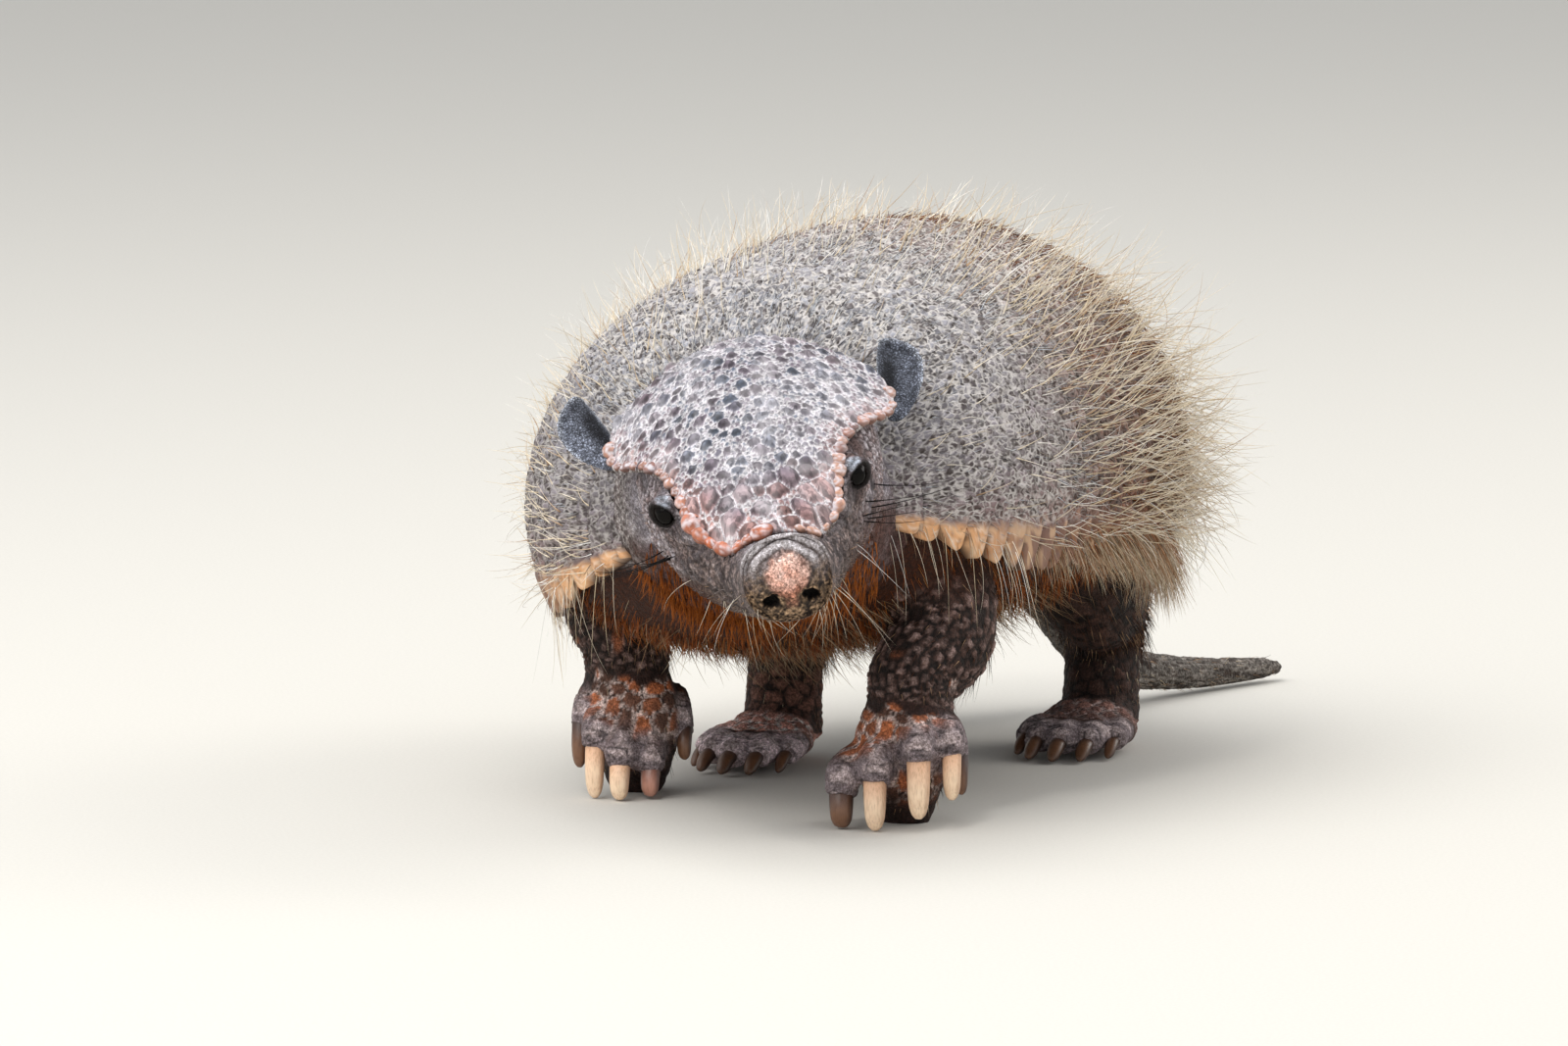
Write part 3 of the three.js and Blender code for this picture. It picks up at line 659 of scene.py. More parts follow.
def horn_finish():
    """Claws: layered horn, lighter ridges along the claw."""
    n = Nodes("claw_horn")
    along = n.place((1.6, 1.6, 0.22))
    streaks = n.grain(0.8, 4, along)
    tint = n.values("tint", "Color")
    colour = n.blend(n.ramp(streaks, 0.25, 0.6), n.blend(1, tint, (0.74, 0.68, 0.62), "MULTIPLY"), tint)
    colour = n.blend(n.ramp(n.grain(2.4, 5), 0.6, 0.85, (0, 0.3)), colour, (0.14, 0.085, 0.06))
    return n.finish(colour, n.ramp(streaks, 0.2, 0.8, (0.28, 0.5)), n.bump(streaks, 0.12), Coat_Weight=0.15)


def eye_finish():
    n = Nodes("eye_wet")
    iris = n.grain(0.35, 4)
    colour = n.blend(n.ramp(iris, 0.35, 0.7, (0, 0.3)), n.values("tint", "Color"), (0.012, 0.007, 0.004))
    return n.finish(colour, 0.05, n.bump(iris, 0.006), Specular_IOR_Level=0.1)


def hair_finish():
    n = Nodes("bristle")
    worn = n.grain(3.5, 4)
    tint = n.values("tint", "Color")
    shade = n.blend(n.ramp(worn, 0.3, 0.7), (0.72, 0.7, 0.68), (1.2, 1.2, 1.2))
    colour = n.blend(0.6, tint, shade, "MULTIPLY")
    return n.finish(colour, 0.5, n.bump(n.grain(0.4), 0.03), Specular_IOR_Level=0.15)


HIDE, EAR_GRAIN, HORN, WET, BRISTLE = skin_finish(), ear_finish(), horn_finish(), eye_finish(), hair_finish()
SCUTE = scute_finish("shell_scutes", 1.75, (0.66, 0.62, 0.59), 0.9, 0.9, (0.3, 0.22, 0.18), 0.9)
SHIELD_SCUTE = scute_finish("head_scutes", 1.1, (0.8, 0.77, 0.77), 0.65, 0, (0.5, 0.49, 0.5), 0.3)


# ------------------------------------------------------------------ shell plates

SLATE, GREY, BROWN = linear(106, 104, 112), linear(114, 99, 95), linear(108, 76, 60)
RUST, TAN, TAN_PALE = linear(116, 66, 38), linear(220, 166, 118), linear(238, 216, 196)
PALE_TOP_SHEEN = linear(170, 176, 186)
SHELL_SPACING, SHIELD_SPACING = 0.7, 0.45  # between neighbouring points of the two meshes


def shell_tint(t, phi, label):
    """Slate on the shoulders and over the back, redder brown on the rear flanks, tan at the margin, and a
    painted highlight of pale bluish sheen over the top of the front of the back.
    """
    side = np.abs(phi) / MARGIN_ANGLE
    spot = stack(t * 300, phi, 0 * phi)
    rear = smooth(t, 0.25, 0.6) * smooth(side, 0.15, 0.6)
    edge_tan = (0.95 - 0.85 * smooth(t, 0.09, 0.22)) * smooth(np.abs(phi) + 1.6 * noise(spot, 3, 7), 101, 106)
    colour = layered(
        mix(SLATE, GREY, smooth(t, 0.1, 0.5)),
        (BROWN, np.clip(0.25 * smooth(side, 0.4, 0.9) + 0.8 * rear, 0, 1)),
        (RUST, 0.5 * smooth(side, 0.75, 0.95) * (0.4 + 0.6 * smooth(t, 0, 0.3))),
        (mix(TAN, TAN_PALE, 0.6 * patches(spot, 1.3, 11, 0.0, 0.5)), edge_tan),
        (linear(120, 84, 62), 0.5 * edge_tan * patches(spot, 1.1, 12, 0.25, 0.6)),
        # painted highlight: a pale bluish sheen over the top and front of the back, where light from above
        # falls
        (PALE_TOP_SHEEN, 0.3 * fade(side, 0.2, 0.8) * fade(t, 0.2, 0.6)),
    )
    return colour * (0.62 + 0.76 * label)[:, None]


def shell_net(t, phi):
    """The share of pale dead skin: less on the rear flanks and next to none on the marginal scutes."""
    side = np.abs(phi) / MARGIN_ANGLE
    flank = smooth(t, 0.2, 0.5) * smooth(side, 0.3, 0.7)
    worn = 0.3 * smooth(-phi, 25, 60) * fade(t, 0.3, 0.5)
    net = (1 - worn) * (1 - 0.25 * smooth(side, 0.35, 0.7)) * (1 - 0.75 * flank)
    return net * (1 - 0.9 * smooth(np.abs(phi), 102, 105))


def plate(name, t0, t1, front, rear, pitch, teeth=5.5, marginal=6.4):
    """One plate: a fine outer face with its scutes, the rim, and a plain under face, closed.

    front and rear are the heights of its two edges, pitch the size of its scutes, teeth the reach in degrees
    and marginal the spacing of the lobes along its free edge.
    """
    path = shell_point(np.linspace(t0, t1, 12), np.full(12, 35.0), 0)
    length = np.linalg.norm(np.diff(path, axis=0), axis=1).sum()
    rows = max(4, int(length / SHELL_SPACING)) + 1
    sweep = np.linspace(-MARGIN_ANGLE, MARGIN_ANGLE, 241)
    ring = shell_point(np.full(241, (t0 + t1) / 2), sweep, 0)
    arc = np.concatenate([[0], np.cumsum(np.linalg.norm(np.diff(ring, axis=0), axis=1))])
    columns = int(arc[-1] / SHELL_SPACING) + 1
    run = np.linspace(0, arc[-1], columns)
    q, phi = np.meshgrid(np.linspace(0, 1, rows), np.interp(run, arc, sweep), indexing="ij")
    q, phi, across = q.ravel(), phi.ravel(), np.tile(run - arc[-1] / 2, rows)
    t, s = t0 + (t1 - t0) * q, q * length
    # Marginal scutes: the edge is a row of points that lean backwards.
    scallop = (s / marginal + 0.35 * np.sign(across)) % 1
    tooth = np.sin(np.pi * scallop**1.45) ** 1.1
    edge = smooth(np.abs(phi), 96, MARGIN_ANGLE)
    phi = phi + np.sign(phi) * edge * (teeth * (tooth - 0.55))
    seed = int(t0 * 1000)
    flat = stack(across, s, 0 * s)
    distance, label, _ = cells(across, s + 0.37 * seed, pitch, None, seed, 0.4, wander=0.2)
    rim = smooth(np.abs(phi) + 1.2 * noise(flat, 3, 8), 98.5, 105)
    groove = smooth(np.minimum(scallop, 1 - scallop), 0.0, 0.16)
    knob = smooth(distance, 0.12, 0.8) * (1 - rim) + rim * groove
    relief = 0.5 * knob * (0.6 + 0.8 * label) + rim * (0.8 * groove - 0.3)
    # Both edges of the plate roll over.
    fall = 0.8 / length
    lip = front + (rear - front) * q - 0.9 * smooth(q, 1 - fall, 1) - 0.5 * fade(q, 0, fall)
    wave = 0.35 * noise(flat, 14, seed)
    top = shell_point(t, phi, lip + relief + wave - 0.35)
    # The under face is a coarser grid over some of the same points.
    low_rows, low_columns = max(3, rows // 6), columns // 4
    low_row, low_column = np.meshgrid(
        np.linspace(0, 1, low_rows), np.linspace(0, columns - 1, low_columns), indexing="ij"
    )
    near = (np.rint(low_row * (rows - 1)) * columns + np.rint(low_column)).astype(int).ravel()
    low = shell_point(t[near], phi[near], np.full(len(near), -THICKNESS))
    under = grid_faces(low_rows, low_columns)[:, ::-1] + len(top)
    # The rim between the two faces.
    border = grid_border(rows, columns)
    mate_row = np.rint(q[border] * (low_rows - 1))
    mate_column = np.rint((border % columns) / (columns - 1) * (low_columns - 1))
    mate = (mate_row * low_columns + mate_column).astype(int) + len(top)
    faces = np.concatenate([grid_faces(rows, columns), under, skirt(border, mate)])
    paint = shell_tint(t, phi, label * (1 - rim) + 0.5 * rim)
    paint = layered(
        paint,
        # painted shade: the notches between the marginal lobes, at the very edge, are darkened to a third
        (paint * 0.3, rim * (1 - groove) * smooth(np.abs(phi), 104, 108)),
        (linear(246, 206, 164), 0.4 * rim * patches(flat, 2.5, 3, 0, 0.6)),
    )
    plain = 0.0 * near
    values = {
        "knob": np.concatenate([knob, plain]),
        "pale": np.concatenate([shell_net(t, phi), plain]),
        "fine": np.concatenate([1 - rim, plain]),
    }
    colour = np.concatenate([paint, np.tile(BROWN * 0.4, (len(low), 1))])
    thing = make(name + "_scutes", np.concatenate([top, low]), faces, colour, SCUTE, values)
    add_chart(thing, np.concatenate([stack(across, s + 3.1 * seed, 0 * s), np.zeros((len(low), 3))]))
    dress(thing, "shell", name)


def shell():
    plate("nuchal_band", 0, NUCHAL_END - SEAM, 0, LAP_UP, (3.0, 3.6), 5)
    plate("scapular_shield", NUCHAL_END, SCAPULAR_END - SEAM, -LAP_DOWN, LAP_UP, (3.0, 3.8))
    step = (BAND_END - SCAPULAR_END) / BANDS
    for i in range(BANDS):
        start = SCAPULAR_END + i * step
        plate(f"shell_band_{i + 1}", start, start + step - SEAM, -LAP_DOWN, LAP_UP, (3.4, 4.6), 5, 10.4)
    plate("pelvic_shield", BAND_END, 1, -LAP_DOWN, 0, (3.0, 3.8))


# ------------------------------------------------------------------ head shield

MAUVE, STEEL, PINKISH = linear(108, 98, 110), linear(86, 96, 114), linear(166, 128, 124)
ORANGE, PEACH, NET = linear(180, 98, 62), linear(206, 156, 132), linear(220, 217, 224)
BEAD = 4.5  # spacing of the beads along the free edge


def shield_edge():
    """The free edge from the right rear corner round the front to the left, and the length along it."""
    v = np.linspace(0.17, 1, 80)
    u = np.linspace(-1, 1, 31)[1:-1]
    right, left = (shield_point(0 * v + side, v, 0) for side in (-1, 1))
    line = np.concatenate([right, shield_point(u, 0 * u + 1, 0), left[::-1]])
    return line, np.concatenate([[0], np.cumsum(np.linalg.norm(np.diff(line, axis=0), axis=1))])


def edge_beads():
    """The knobs round the free edge, pinkish at the sides and orange in front, with painted shade under each
    and a painted highlight mixed with dust on top: points, faces, colours.
    """
    line, run = shield_edge()
    count = int(run[-1] / BEAD)
    draw = np.random.default_rng(8)
    rings, around = 13, 20
    ball = on_sphere(*rings_grid(0.06, np.pi - 0.06, rings, around))
    pieces, colours = [], []

    def edge_at(place):
        return np.array([np.interp(place, run, line[:, k]) for k in range(3)])

    for i in range(count):
        at = (i + 0.5 + draw.uniform(-0.12, 0.12)) * run[-1] / count
        middle = edge_at(at)
        ahead = unit(edge_at(at + 1) - edge_at(at - 1))
        inward = unit(np.cross([0, 0, 1.0], ahead))
        inward = inward if inward @ (0 - middle[0], -20 - middle[1], 0) > 0 else -inward
        rise = np.cross(ahead, inward)
        rise = rise if rise[2] > 0 else -rise
        # The row has a gap over the nose.
        if middle[1] < -55 and -4 < middle[0] < 7:
            continue
        front = smooth(-middle[1], 36, 56)
        right = fade(middle[0], -4, 4)
        corner = bell(middle[1], 8, 7)
        size = draw.uniform(0.72, 1.2) * (1 + 0.25 * front * right + 0.3 * corner)
        shape = ball * (BEAD * (0.57 + 0.08 * front) * size, 3.1 * size, 1.7 * size)
        uneven = 1 + 0.09 * noise(ball * 3 + 10 * i, 1.6, 6) + 0.03 * noise(ball * 3 + 9 * i, 0.6, 4)
        shape = shape * uneven[:, None]
        place = middle + inward * 1.7 + rise * (-1.35 + 0.2 * front)
        pieces.append((place + shape @ np.stack([ahead, inward, rise]), grid_faces(rings, around, wrap=True)))
        own = layered(
            linear(172, 122, 104),
            (linear(128, 94, 90), draw.uniform()),
            (PEACH, draw.uniform(0, 0.55)),
            (mix(PEACH, ORANGE, right), front * draw.uniform(0.5, 1)),
        )
        # painted shade: each bead darkens towards its underside
        shade = 0.55 + 0.45 * smooth(ball[:, 2], -0.6, 0.5)
        # pale patches on the top of each bead: dust together with a painted highlight
        dust_and_top_highlight = patches(ball * 2.4 + 7 * i, 0.6, 5, -0.2, 0.5) * smooth(ball[:, 2], -0.3, 0.5)
        own = own * (0.75 + 0.4 * patches(ball * 2.4 + 5 * i, 0.7, 12, -0.4, 0.4))[:, None]
        colours.append(mix(own * shade[:, None] * draw.uniform(0.8, 1.1), NET, 0.8 * dust_and_top_highlight))
    return *joined(pieces), np.concatenate(colours)


def head_shield():
    rows, columns = int((SHIELD_REAR - SHIELD_FRONT) / SHIELD_SPACING), int(84 / SHIELD_SPACING)
    v, u = np.repeat(np.linspace(0, 1, rows), columns), np.tile(np.linspace(-1, 1, columns), rows)
    flat = shield_point(u, v, 0)
    x, y = flat[:, 0], -flat[:, 1]
    spot = stack(x, y, 0 * x)
    # How far in from the free edge each point near it lies.
    line, _ = shield_edge()
    inset = np.full(len(x), 30.0)
    close = np.flatnonzero(((1 - np.abs(u)) * SHIELD_WIDE(v) < 9) | (v > 0.86))
    away = np.hypot(flat[close, 0][:, None] - line[:, 0], flat[close, 1][:, None] - line[:, 1])
    inset[close] = away.min(axis=1)
    # Knobs in a pavement of granules; in front the knobs are larger and crowd the granules out.
    ahead = smooth(v + 0.05 * noise(spot, 8, 2), 0.72, 0.88)
    fine = cells(x, y, (5.6, 5.0), (1.8, 1.6), 11, 0.25, 0.42)
    coarse = cells(x, y, (6.4, 5.8), (2.2, 2.0), 23, 0.4, 0.3)
    distance, label, large = (np.where(ahead > 0.5, b, a) for a, b in zip(fine, coarse))
    large = large > 0.5
    height = np.where(large, 0.3 + 1.25 * smooth(distance, 0.0, 1.5), 0.15 + 0.7 * smooth(distance, 0.0, 0.7))
    height = height * (0.7 + 0.6 * label) + 0.35 * noise(spot, 9, 5)
    fall = smooth(inset, 0.0, 2.4)
    top = shield_point(u, v, 1.0 - 0.95 * height * (0.3 + 0.7 * fall) + 0.8 * (1 - fall))
    low = shield_point(u, v, SHIELD_THICK)
    # Slate and mauve knobs, pinker towards the edge and the front, the seams filled with pale dead skin.
    inner = np.hypot(u * 1.1, (v - 0.55) * 1.6)
    warm = 0.8 * ahead + 0.8 * fade(inset, 2, 8) * smooth(v, 0.05, 0.3) + 0.15 * smooth(inner, 0.6, 1)
    hue = dice(np.rint(label * 65535), 0 * label + 9)
    colour = mix(mix(STEEL, MAUVE, smooth(hue, 0.2, 0.7)), PINKISH, np.clip(warm * (0.4 + 0.6 * hue), 0, 1))
    colour = colour * (0.55 + 0.55 * label + 0.12 * ~large)[:, None]
    white = fade(distance, 0.05, 0.27) * (0.8 + 0.25 * noise(spot, 5, 9))
    dusty = 0.22 * patches(spot, 7, 19, -0.3, 0.5) + 0.3 * bell(np.hypot(x - 6, y - 26), 0, 7)
    colour = layered(
        colour,
        (colour * 0.45, large * smooth(distance, 0.3, 0.7) * fade(distance, 0.8, 1.5)),
        (NET, np.clip(white + dusty, 0, 0.95)),
    )
    faces = grid_faces(rows, columns)
    border = grid_border(rows, columns)
    closed = np.concatenate([faces, faces[:, ::-1] + len(top), skirt(border, border + len(top))])[:, ::-1]
    bead_points, bead_faces, bead_colours = edge_beads()
    points, whole = joined([(np.concatenate([top, low]), closed), (bead_points, bead_faces)])
    knob = 0.4 + np.where(large, 0.6, 0.35) * smooth(distance, 0.1, 0.6)
    values = {
        "knob": np.concatenate([knob, 0 * knob, np.full(len(bead_points), 1.0)]),
        "pale": np.ones(len(points)),
        "fine": np.concatenate([np.ones(len(top) * 2), np.full(len(bead_points), 0.3)]),
    }
    colours = np.concatenate([colour, np.tile(BROWN * 0.5, (len(low), 1)), bead_colours])
    thing = make("head_shield_scutes", from_head(points), whole, colours, SHIELD_SCUTE, values)
    add_chart(thing, np.concatenate([spot, spot, bead_points]))
    dress(thing, "head_shield", "head_shield")


shell()
head_shield()

# ------------------------------------------------------------------ skin


def trunk_form():
    """The trunk's flesh: the sections drawn out, closed by a bulge at each end."""
    rings, around, end = 73, 96, 0.22
    along, phi = rings_grid(0.004, 0.996, rings, around)
    to_end = np.clip(np.minimum(along, 1 - along) / end, 0, 1)
    t = np.clip((along - end) / (1 - 2 * end), 0, 1)
    shrink = np.sqrt(1 - (1 - to_end) ** 2)
    belly_coat = np.where(np.cos(phi) < 0, 5 * np.abs(np.cos(phi)), 0.8)
    up = np.where(np.cos(phi) > 0, RISE(t) - FLESH - 0.8, BELLY(t) - belly_coat)
    points = section_point(t, flesh_width(t) * shrink * np.sin(phi), up * shrink * np.cos(phi))
    bulge = np.where(along < 0.5, -FRONT_BULGE, REAR_BULGE) * (1 - to_end)
    return points + section_normal(t) * bulge[:, None], capped(rings, around)


def flesh_width(t):
    """Half the width of the trunk's flesh, inside the shell."""
    return HALF_WIDTH(t) - FLESH - 0.6


def section_normal(t):
    """The direction square to a trunk section, towards the tail."""
    tilt, yaw = np.radians(TILT(t)), np.radians(YAW(t))
    return stack(-np.sin(yaw) * np.cos(tilt), np.cos(yaw) * np.cos(tilt), -np.sin(tilt))


def head_form():
    rings, around = 81, 96
    return from_head(head_point(*rings_grid(0.012, 0.988, rings, around), 0.3)), capped(rings, around)


def ball(centre, radius, stretch=(1, 1, 1)):
    """A stretched ball in the head's frame: points and quads."""
    rings, around = 24, 32
    unit_ball = on_sphere(*rings_grid(0.05, np.pi - 0.05, rings, around))
    return from_head(centre + radius * unit_ball * stretch), capped(rings, around)


def on_foot(points, place):
    """Points of a foot's own frame, put where the foot stands."""
    (x, y), yaw = place
    return np.asarray(points, float) @ turn("Z", yaw).T + (x, y, 0)


def leg_path(side, place, joint, wrist):
    """The middle line of a leg from its joint in the trunk to its foot."""
    foot = on_foot([wrist], place)[0]
    top = np.array([side * joint["x"], joint["y"], joint["z"]])
    middle = top + (foot - top) * 0.5
    middle[2] = top[2] + (foot[2] - top[2]) * 0.55
    middle += (side * joint["bow"], joint["bend"], 0)
    return [top, middle, foot + (0, 0.5, 8), foot]


def toe_path(side, digit):
    x, y, root = side * digit[0], digit[1], digit[2]
    return [(x * 0.7, y + 10, root + 10), (x * 0.95, y + 1, root + 6.5), (x, y - 0.5, root - 0.5)]


def hind_toe_path(side, digit):
    x, y = side * digit[0], digit[1]
    return [(x * 0.8, y + 8, 7), (x, y - 4, 7.2), (x * 1.07, y - 12, 5.6)]


LEG_COAT, OTHER_COAT = 1.6, 0.4  # how far the roots of the hair lie inside the solids' legs and other parts
LIMBS = {}  # name: (path, half sizes across, deep) of legs, feet, toes and tail


def add_limb(name, path, across, deep):
    """A limb from the half sizes (across or deep) at places along it."""
    LIMBS[name] = (path, profile(*across), profile(*deep))


def limb_table():
    for name, side in SIDES.items():
        place = FORE_FEET[name]
        wrist = (2.5 * side, 5, 36)
        path = leg_path(side, place, SHOULDER, wrist)
        across, deep = ((0, 23.5), (0.45, 16), (1, 13)), ((0, 26), (0.45, 17.5), (1, 12.5))
        add_limb("foreleg_" + name, path, across, deep)
        palm = on_foot([wrist, (0, 2, 20), (0, 9, 0.6)], place)
        across, deep = ((0, 13.5), (0.45, 15.5), (1, 8.5)), ((0, 12.5), (0.5, 11.5), (1, 6.5))
        add_limb("palm_" + name, palm, across, deep)
        for i, digit in enumerate(FORE_DIGITS[name]):
            r, more = digit[3], 0.9 if i in (0, 4) and digit[3] < 3 else 2
            size = ((0, 5), (0.5, r + more), (1, r + 0.5 * more))
            add_limb(f"toe_{name}_{i}", on_foot(toe_path(side, digit), place), size, size)
        place = HIND_FEET[name]
        path = leg_path(side, place, HIP, (0, 4, 32))
        add_limb("hindleg_" + name, path, ((0, 26), (0.5, 16.5), (1, 12)), ((0, 32), (0.5, 19), (1, 12.5)))
        sole = on_foot([(0, 10, 9), (0, -8, 9), (0, -24, 6)], place)
        add_limb("sole_" + name, sole, ((0, 9), (0.5, 14), (1, 12.5)), ((0, 8.4), (0.5, 8.4), (1, 5.4)))
        ankle = on_foot([(0, 4, 32), (0, 2, 18), (0, 1, 8)], place)
        add_limb("ankle_" + name, ankle, ((0, 12), (1, 12.5)), ((0, 12.5), (1, 13)))
        for i, digit in enumerate(HIND_DIGITS):
            r, path = digit[2], on_foot(hind_toe_path(side, digit), place)
            across, deep = ((0, 5), (0.6, r + 2.2), (1, r + 1.2)), ((0, 5), (0.6, r + 2), (1, r + 1))
            add_limb(f"hindtoe_{name}_{i}", path, across, deep)
    LIMBS["tail"] = (TAIL, TAIL_RADIUS, TAIL_RADIUS)


NECK_ACROSS, NECK_DEEP = profile((0, 44.2), (0.6, 40.2), (1, 34.2)), profile((0, 35.2), (1, 28.2))


def neck_path():
    """The middle line of the neck, from the collar to the nape."""
    start = section_point(np.array([0.06]), np.zeros(1), np.zeros(1))[0]
    nape = from_head(np.array([[0, -6, -9.0]]))[0]
    return [start, (start + nape) / 2, nape]


GAZE_TILT = 38  # degrees by which the outer corner of each eye is the higher
LID_RADIUS = EYE_RADIUS + 0.9


def eye_centre(side):
    return np.array([side * EYE_PLACE[0], *EYE_PLACE[1:]])


def eye_frame(side):
    """The eye's centre and its gaze, outward and up directions, in the head's frame."""
    gaze = unit(np.array([side * 0.28, -0.93, -0.16]))
    across = unit(np.cross([0, 0, 1.0], gaze)) * side
    up = np.cross(gaze, across) * side
    c, s = math.cos(math.radians(GAZE_TILT)), math.sin(math.radians(GAZE_TILT))
    across, up = across * c + up * s, up * c - across * s
    return eye_centre(side), gaze, across, up


# Two balls of flesh by each eye: the step to each from the eye, its radius and how it is stretched.
BROWS = (((-3.5, 6.5, -4), 9.6, (0.8, 1.35, 1.0)), ((-6.5, -2, -5), 7.6, (0.8, 1.6, 1.1)))
SKIN_CELL = 1.56  # size of the cells in which the fleshy forms are made one


def thinned(half_size, coat):
    """A limb's half size less the depth of its coat, of which little is left at the foot."""
    return lambda t: half_size(t) - coat * (1 - 0.8 * smooth(t, 0.6, 1))


def skin_form():
    """The union of all the fleshy lofts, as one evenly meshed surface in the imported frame."""
    pieces = [trunk_form(), head_form(), loft(neck_path(), NECK_ACROSS, NECK_DEEP, 72, 24)]
    for side in SIDES.values():
        centre = eye_centre(side)
        pieces.append(ball(centre, LID_RADIUS))
        for step, radius, stretch in BROWS:
            pieces.append(ball(centre + np.array(step) * (side, 1, 1), radius, stretch))
    for name, (path, across, deep) in LIMBS.items():
        coat = LEG_COAT if "leg" in name else 0.3
        pieces.append(loft(path, thinned(across, coat), thinned(deep, coat), 40, 28))
    rough = make("rough", *joined(pieces))
    rough.data.validate()
    remesh = rough.modifiers.new("union", "REMESH")
    remesh.mode, remesh.voxel_size = "VOXEL", SKIN_CELL * MM
    made = bpy.data.meshes.new_from_object(rough.evaluated_get(bpy.context.evaluated_depsgraph_get()))
    bpy.data.objects.remove(rough)
    return made


def mesh_points(mesh):
    points = np.empty(len(mesh.vertices) * 3, np.float32)
    mesh.vertices.foreach_get("co", points)
    return points.reshape(-1, 3).astype(float) / MM - PLACE


def set_points(mesh, points):
    mesh.vertices.foreach_set("co", packed(points))
    mesh.update()


def mesh_normals(mesh):
    normals = np.empty(len(mesh.vertices) * 3, np.float32)
    mesh.vertex_normals.foreach_get("vector", normals)
    return normals.reshape(-1, 3).astype(float)


def relax(mesh, points, times, where=1.0, hold=-0.53):
    """Evens the surface out; hold is the push back that keeps it from shrinking, and where says how much."""
    edges = np.empty(len(mesh.edges) * 2, np.int32)
    mesh.edges.foreach_get("vertices", edges)
    a, b = edges.reshape(-1, 2).T
    n = len(points)
    count = np.bincount(a, minlength=n) + np.bincount(b, minlength=n)
    for i in range(times * 2):
        total = stack(*(np.bincount(a, points[b, k], n) + np.bincount(b, points[a, k], n) for k in range(3)))
        pull = (total / count[:, None] - points) * (0.5 if i % 2 == 0 else hold)
        points = points + pull * np.reshape(where, (-1, 1))
    return points


def refine(mesh, where):
    """Cuts the faces of a region in four."""
    form = bmesh.new()
    form.from_mesh(mesh)
    form.verts.ensure_lookup_table()
    edges = [e for e in form.edges if where[e.verts[0].index] and where[e.verts[1].index]]
    bmesh.ops.subdivide_edges(form, edges=edges, cuts=1, use_grid_fill=True)
    form.to_mesh(mesh)
    form.free()


def nearest(points, path, samples=48):
    """For each point, its distance from a limb's axis, share of its length and angle round it; the length."""
    t = np.linspace(0, 1, samples)
    middle, forward = curve(path, t)
    away = points[:, None] - middle[None]
    i = np.argmin((away**2).sum(-1), axis=1)
    off = away[np.arange(len(points)), i]
    side, front = square_to(forward[i])
    angle = np.arctan2((off * front).sum(-1), (off * side).sum(-1))
    length = np.linalg.norm(np.diff(middle, axis=0), axis=1).sum()
    return np.linalg.norm(off, axis=1), t[i], angle, length


FACE, FACE_PALE, FACE_DARK = linear(144, 139, 147), linear(228, 223, 230), linear(32, 26, 28)
CHEEK = linear(186, 164, 162)
LID_HIGHLIGHT = linear(190, 200, 214)
FOLD_CREST_HIGHLIGHT, FOLD_CREASE_SHADE = linear(228, 224, 228), linear(92, 78, 72)
PAD, PAD_LOW = linear(250, 206, 190), linear(224, 156, 130)
GRIT_DARK, GRIT_PALE = linear(24, 13, 6), linear(200, 168, 134)
NECK, NECK_DARK = linear(138, 126, 124), linear(82, 70, 70)
CHEST = linear(60, 27, 8)
LEG, LEG_RIM = linear(74, 53, 46), linear(132, 110, 104)
HINDLEG = linear(70, 48, 40)
PAW, PAW_BROWN = linear(176, 104, 66), linear(116, 82, 68)
PAW_RIM, PAW_GROOVE = linear(226, 204, 196), linear(44, 28, 24)
TOE = linear(136, 124, 127)
TAIL_SCALE = linear(112, 106, 100)
BLACK = linear(14, 10, 9)
PAD_HEIGHT = -18.2  # of the pad's middle


def dusty_brown(p):
    """Brown skin with paler grains of sand on it, as on the sides of the jaw."""
    grains = smooth(noise(p, 0.8, 43) + 0.4 * noise(p, 2.4, 45), -0.2, 0.7)
    return mix(linear(50, 36, 30), linear(158, 138, 130), grains)


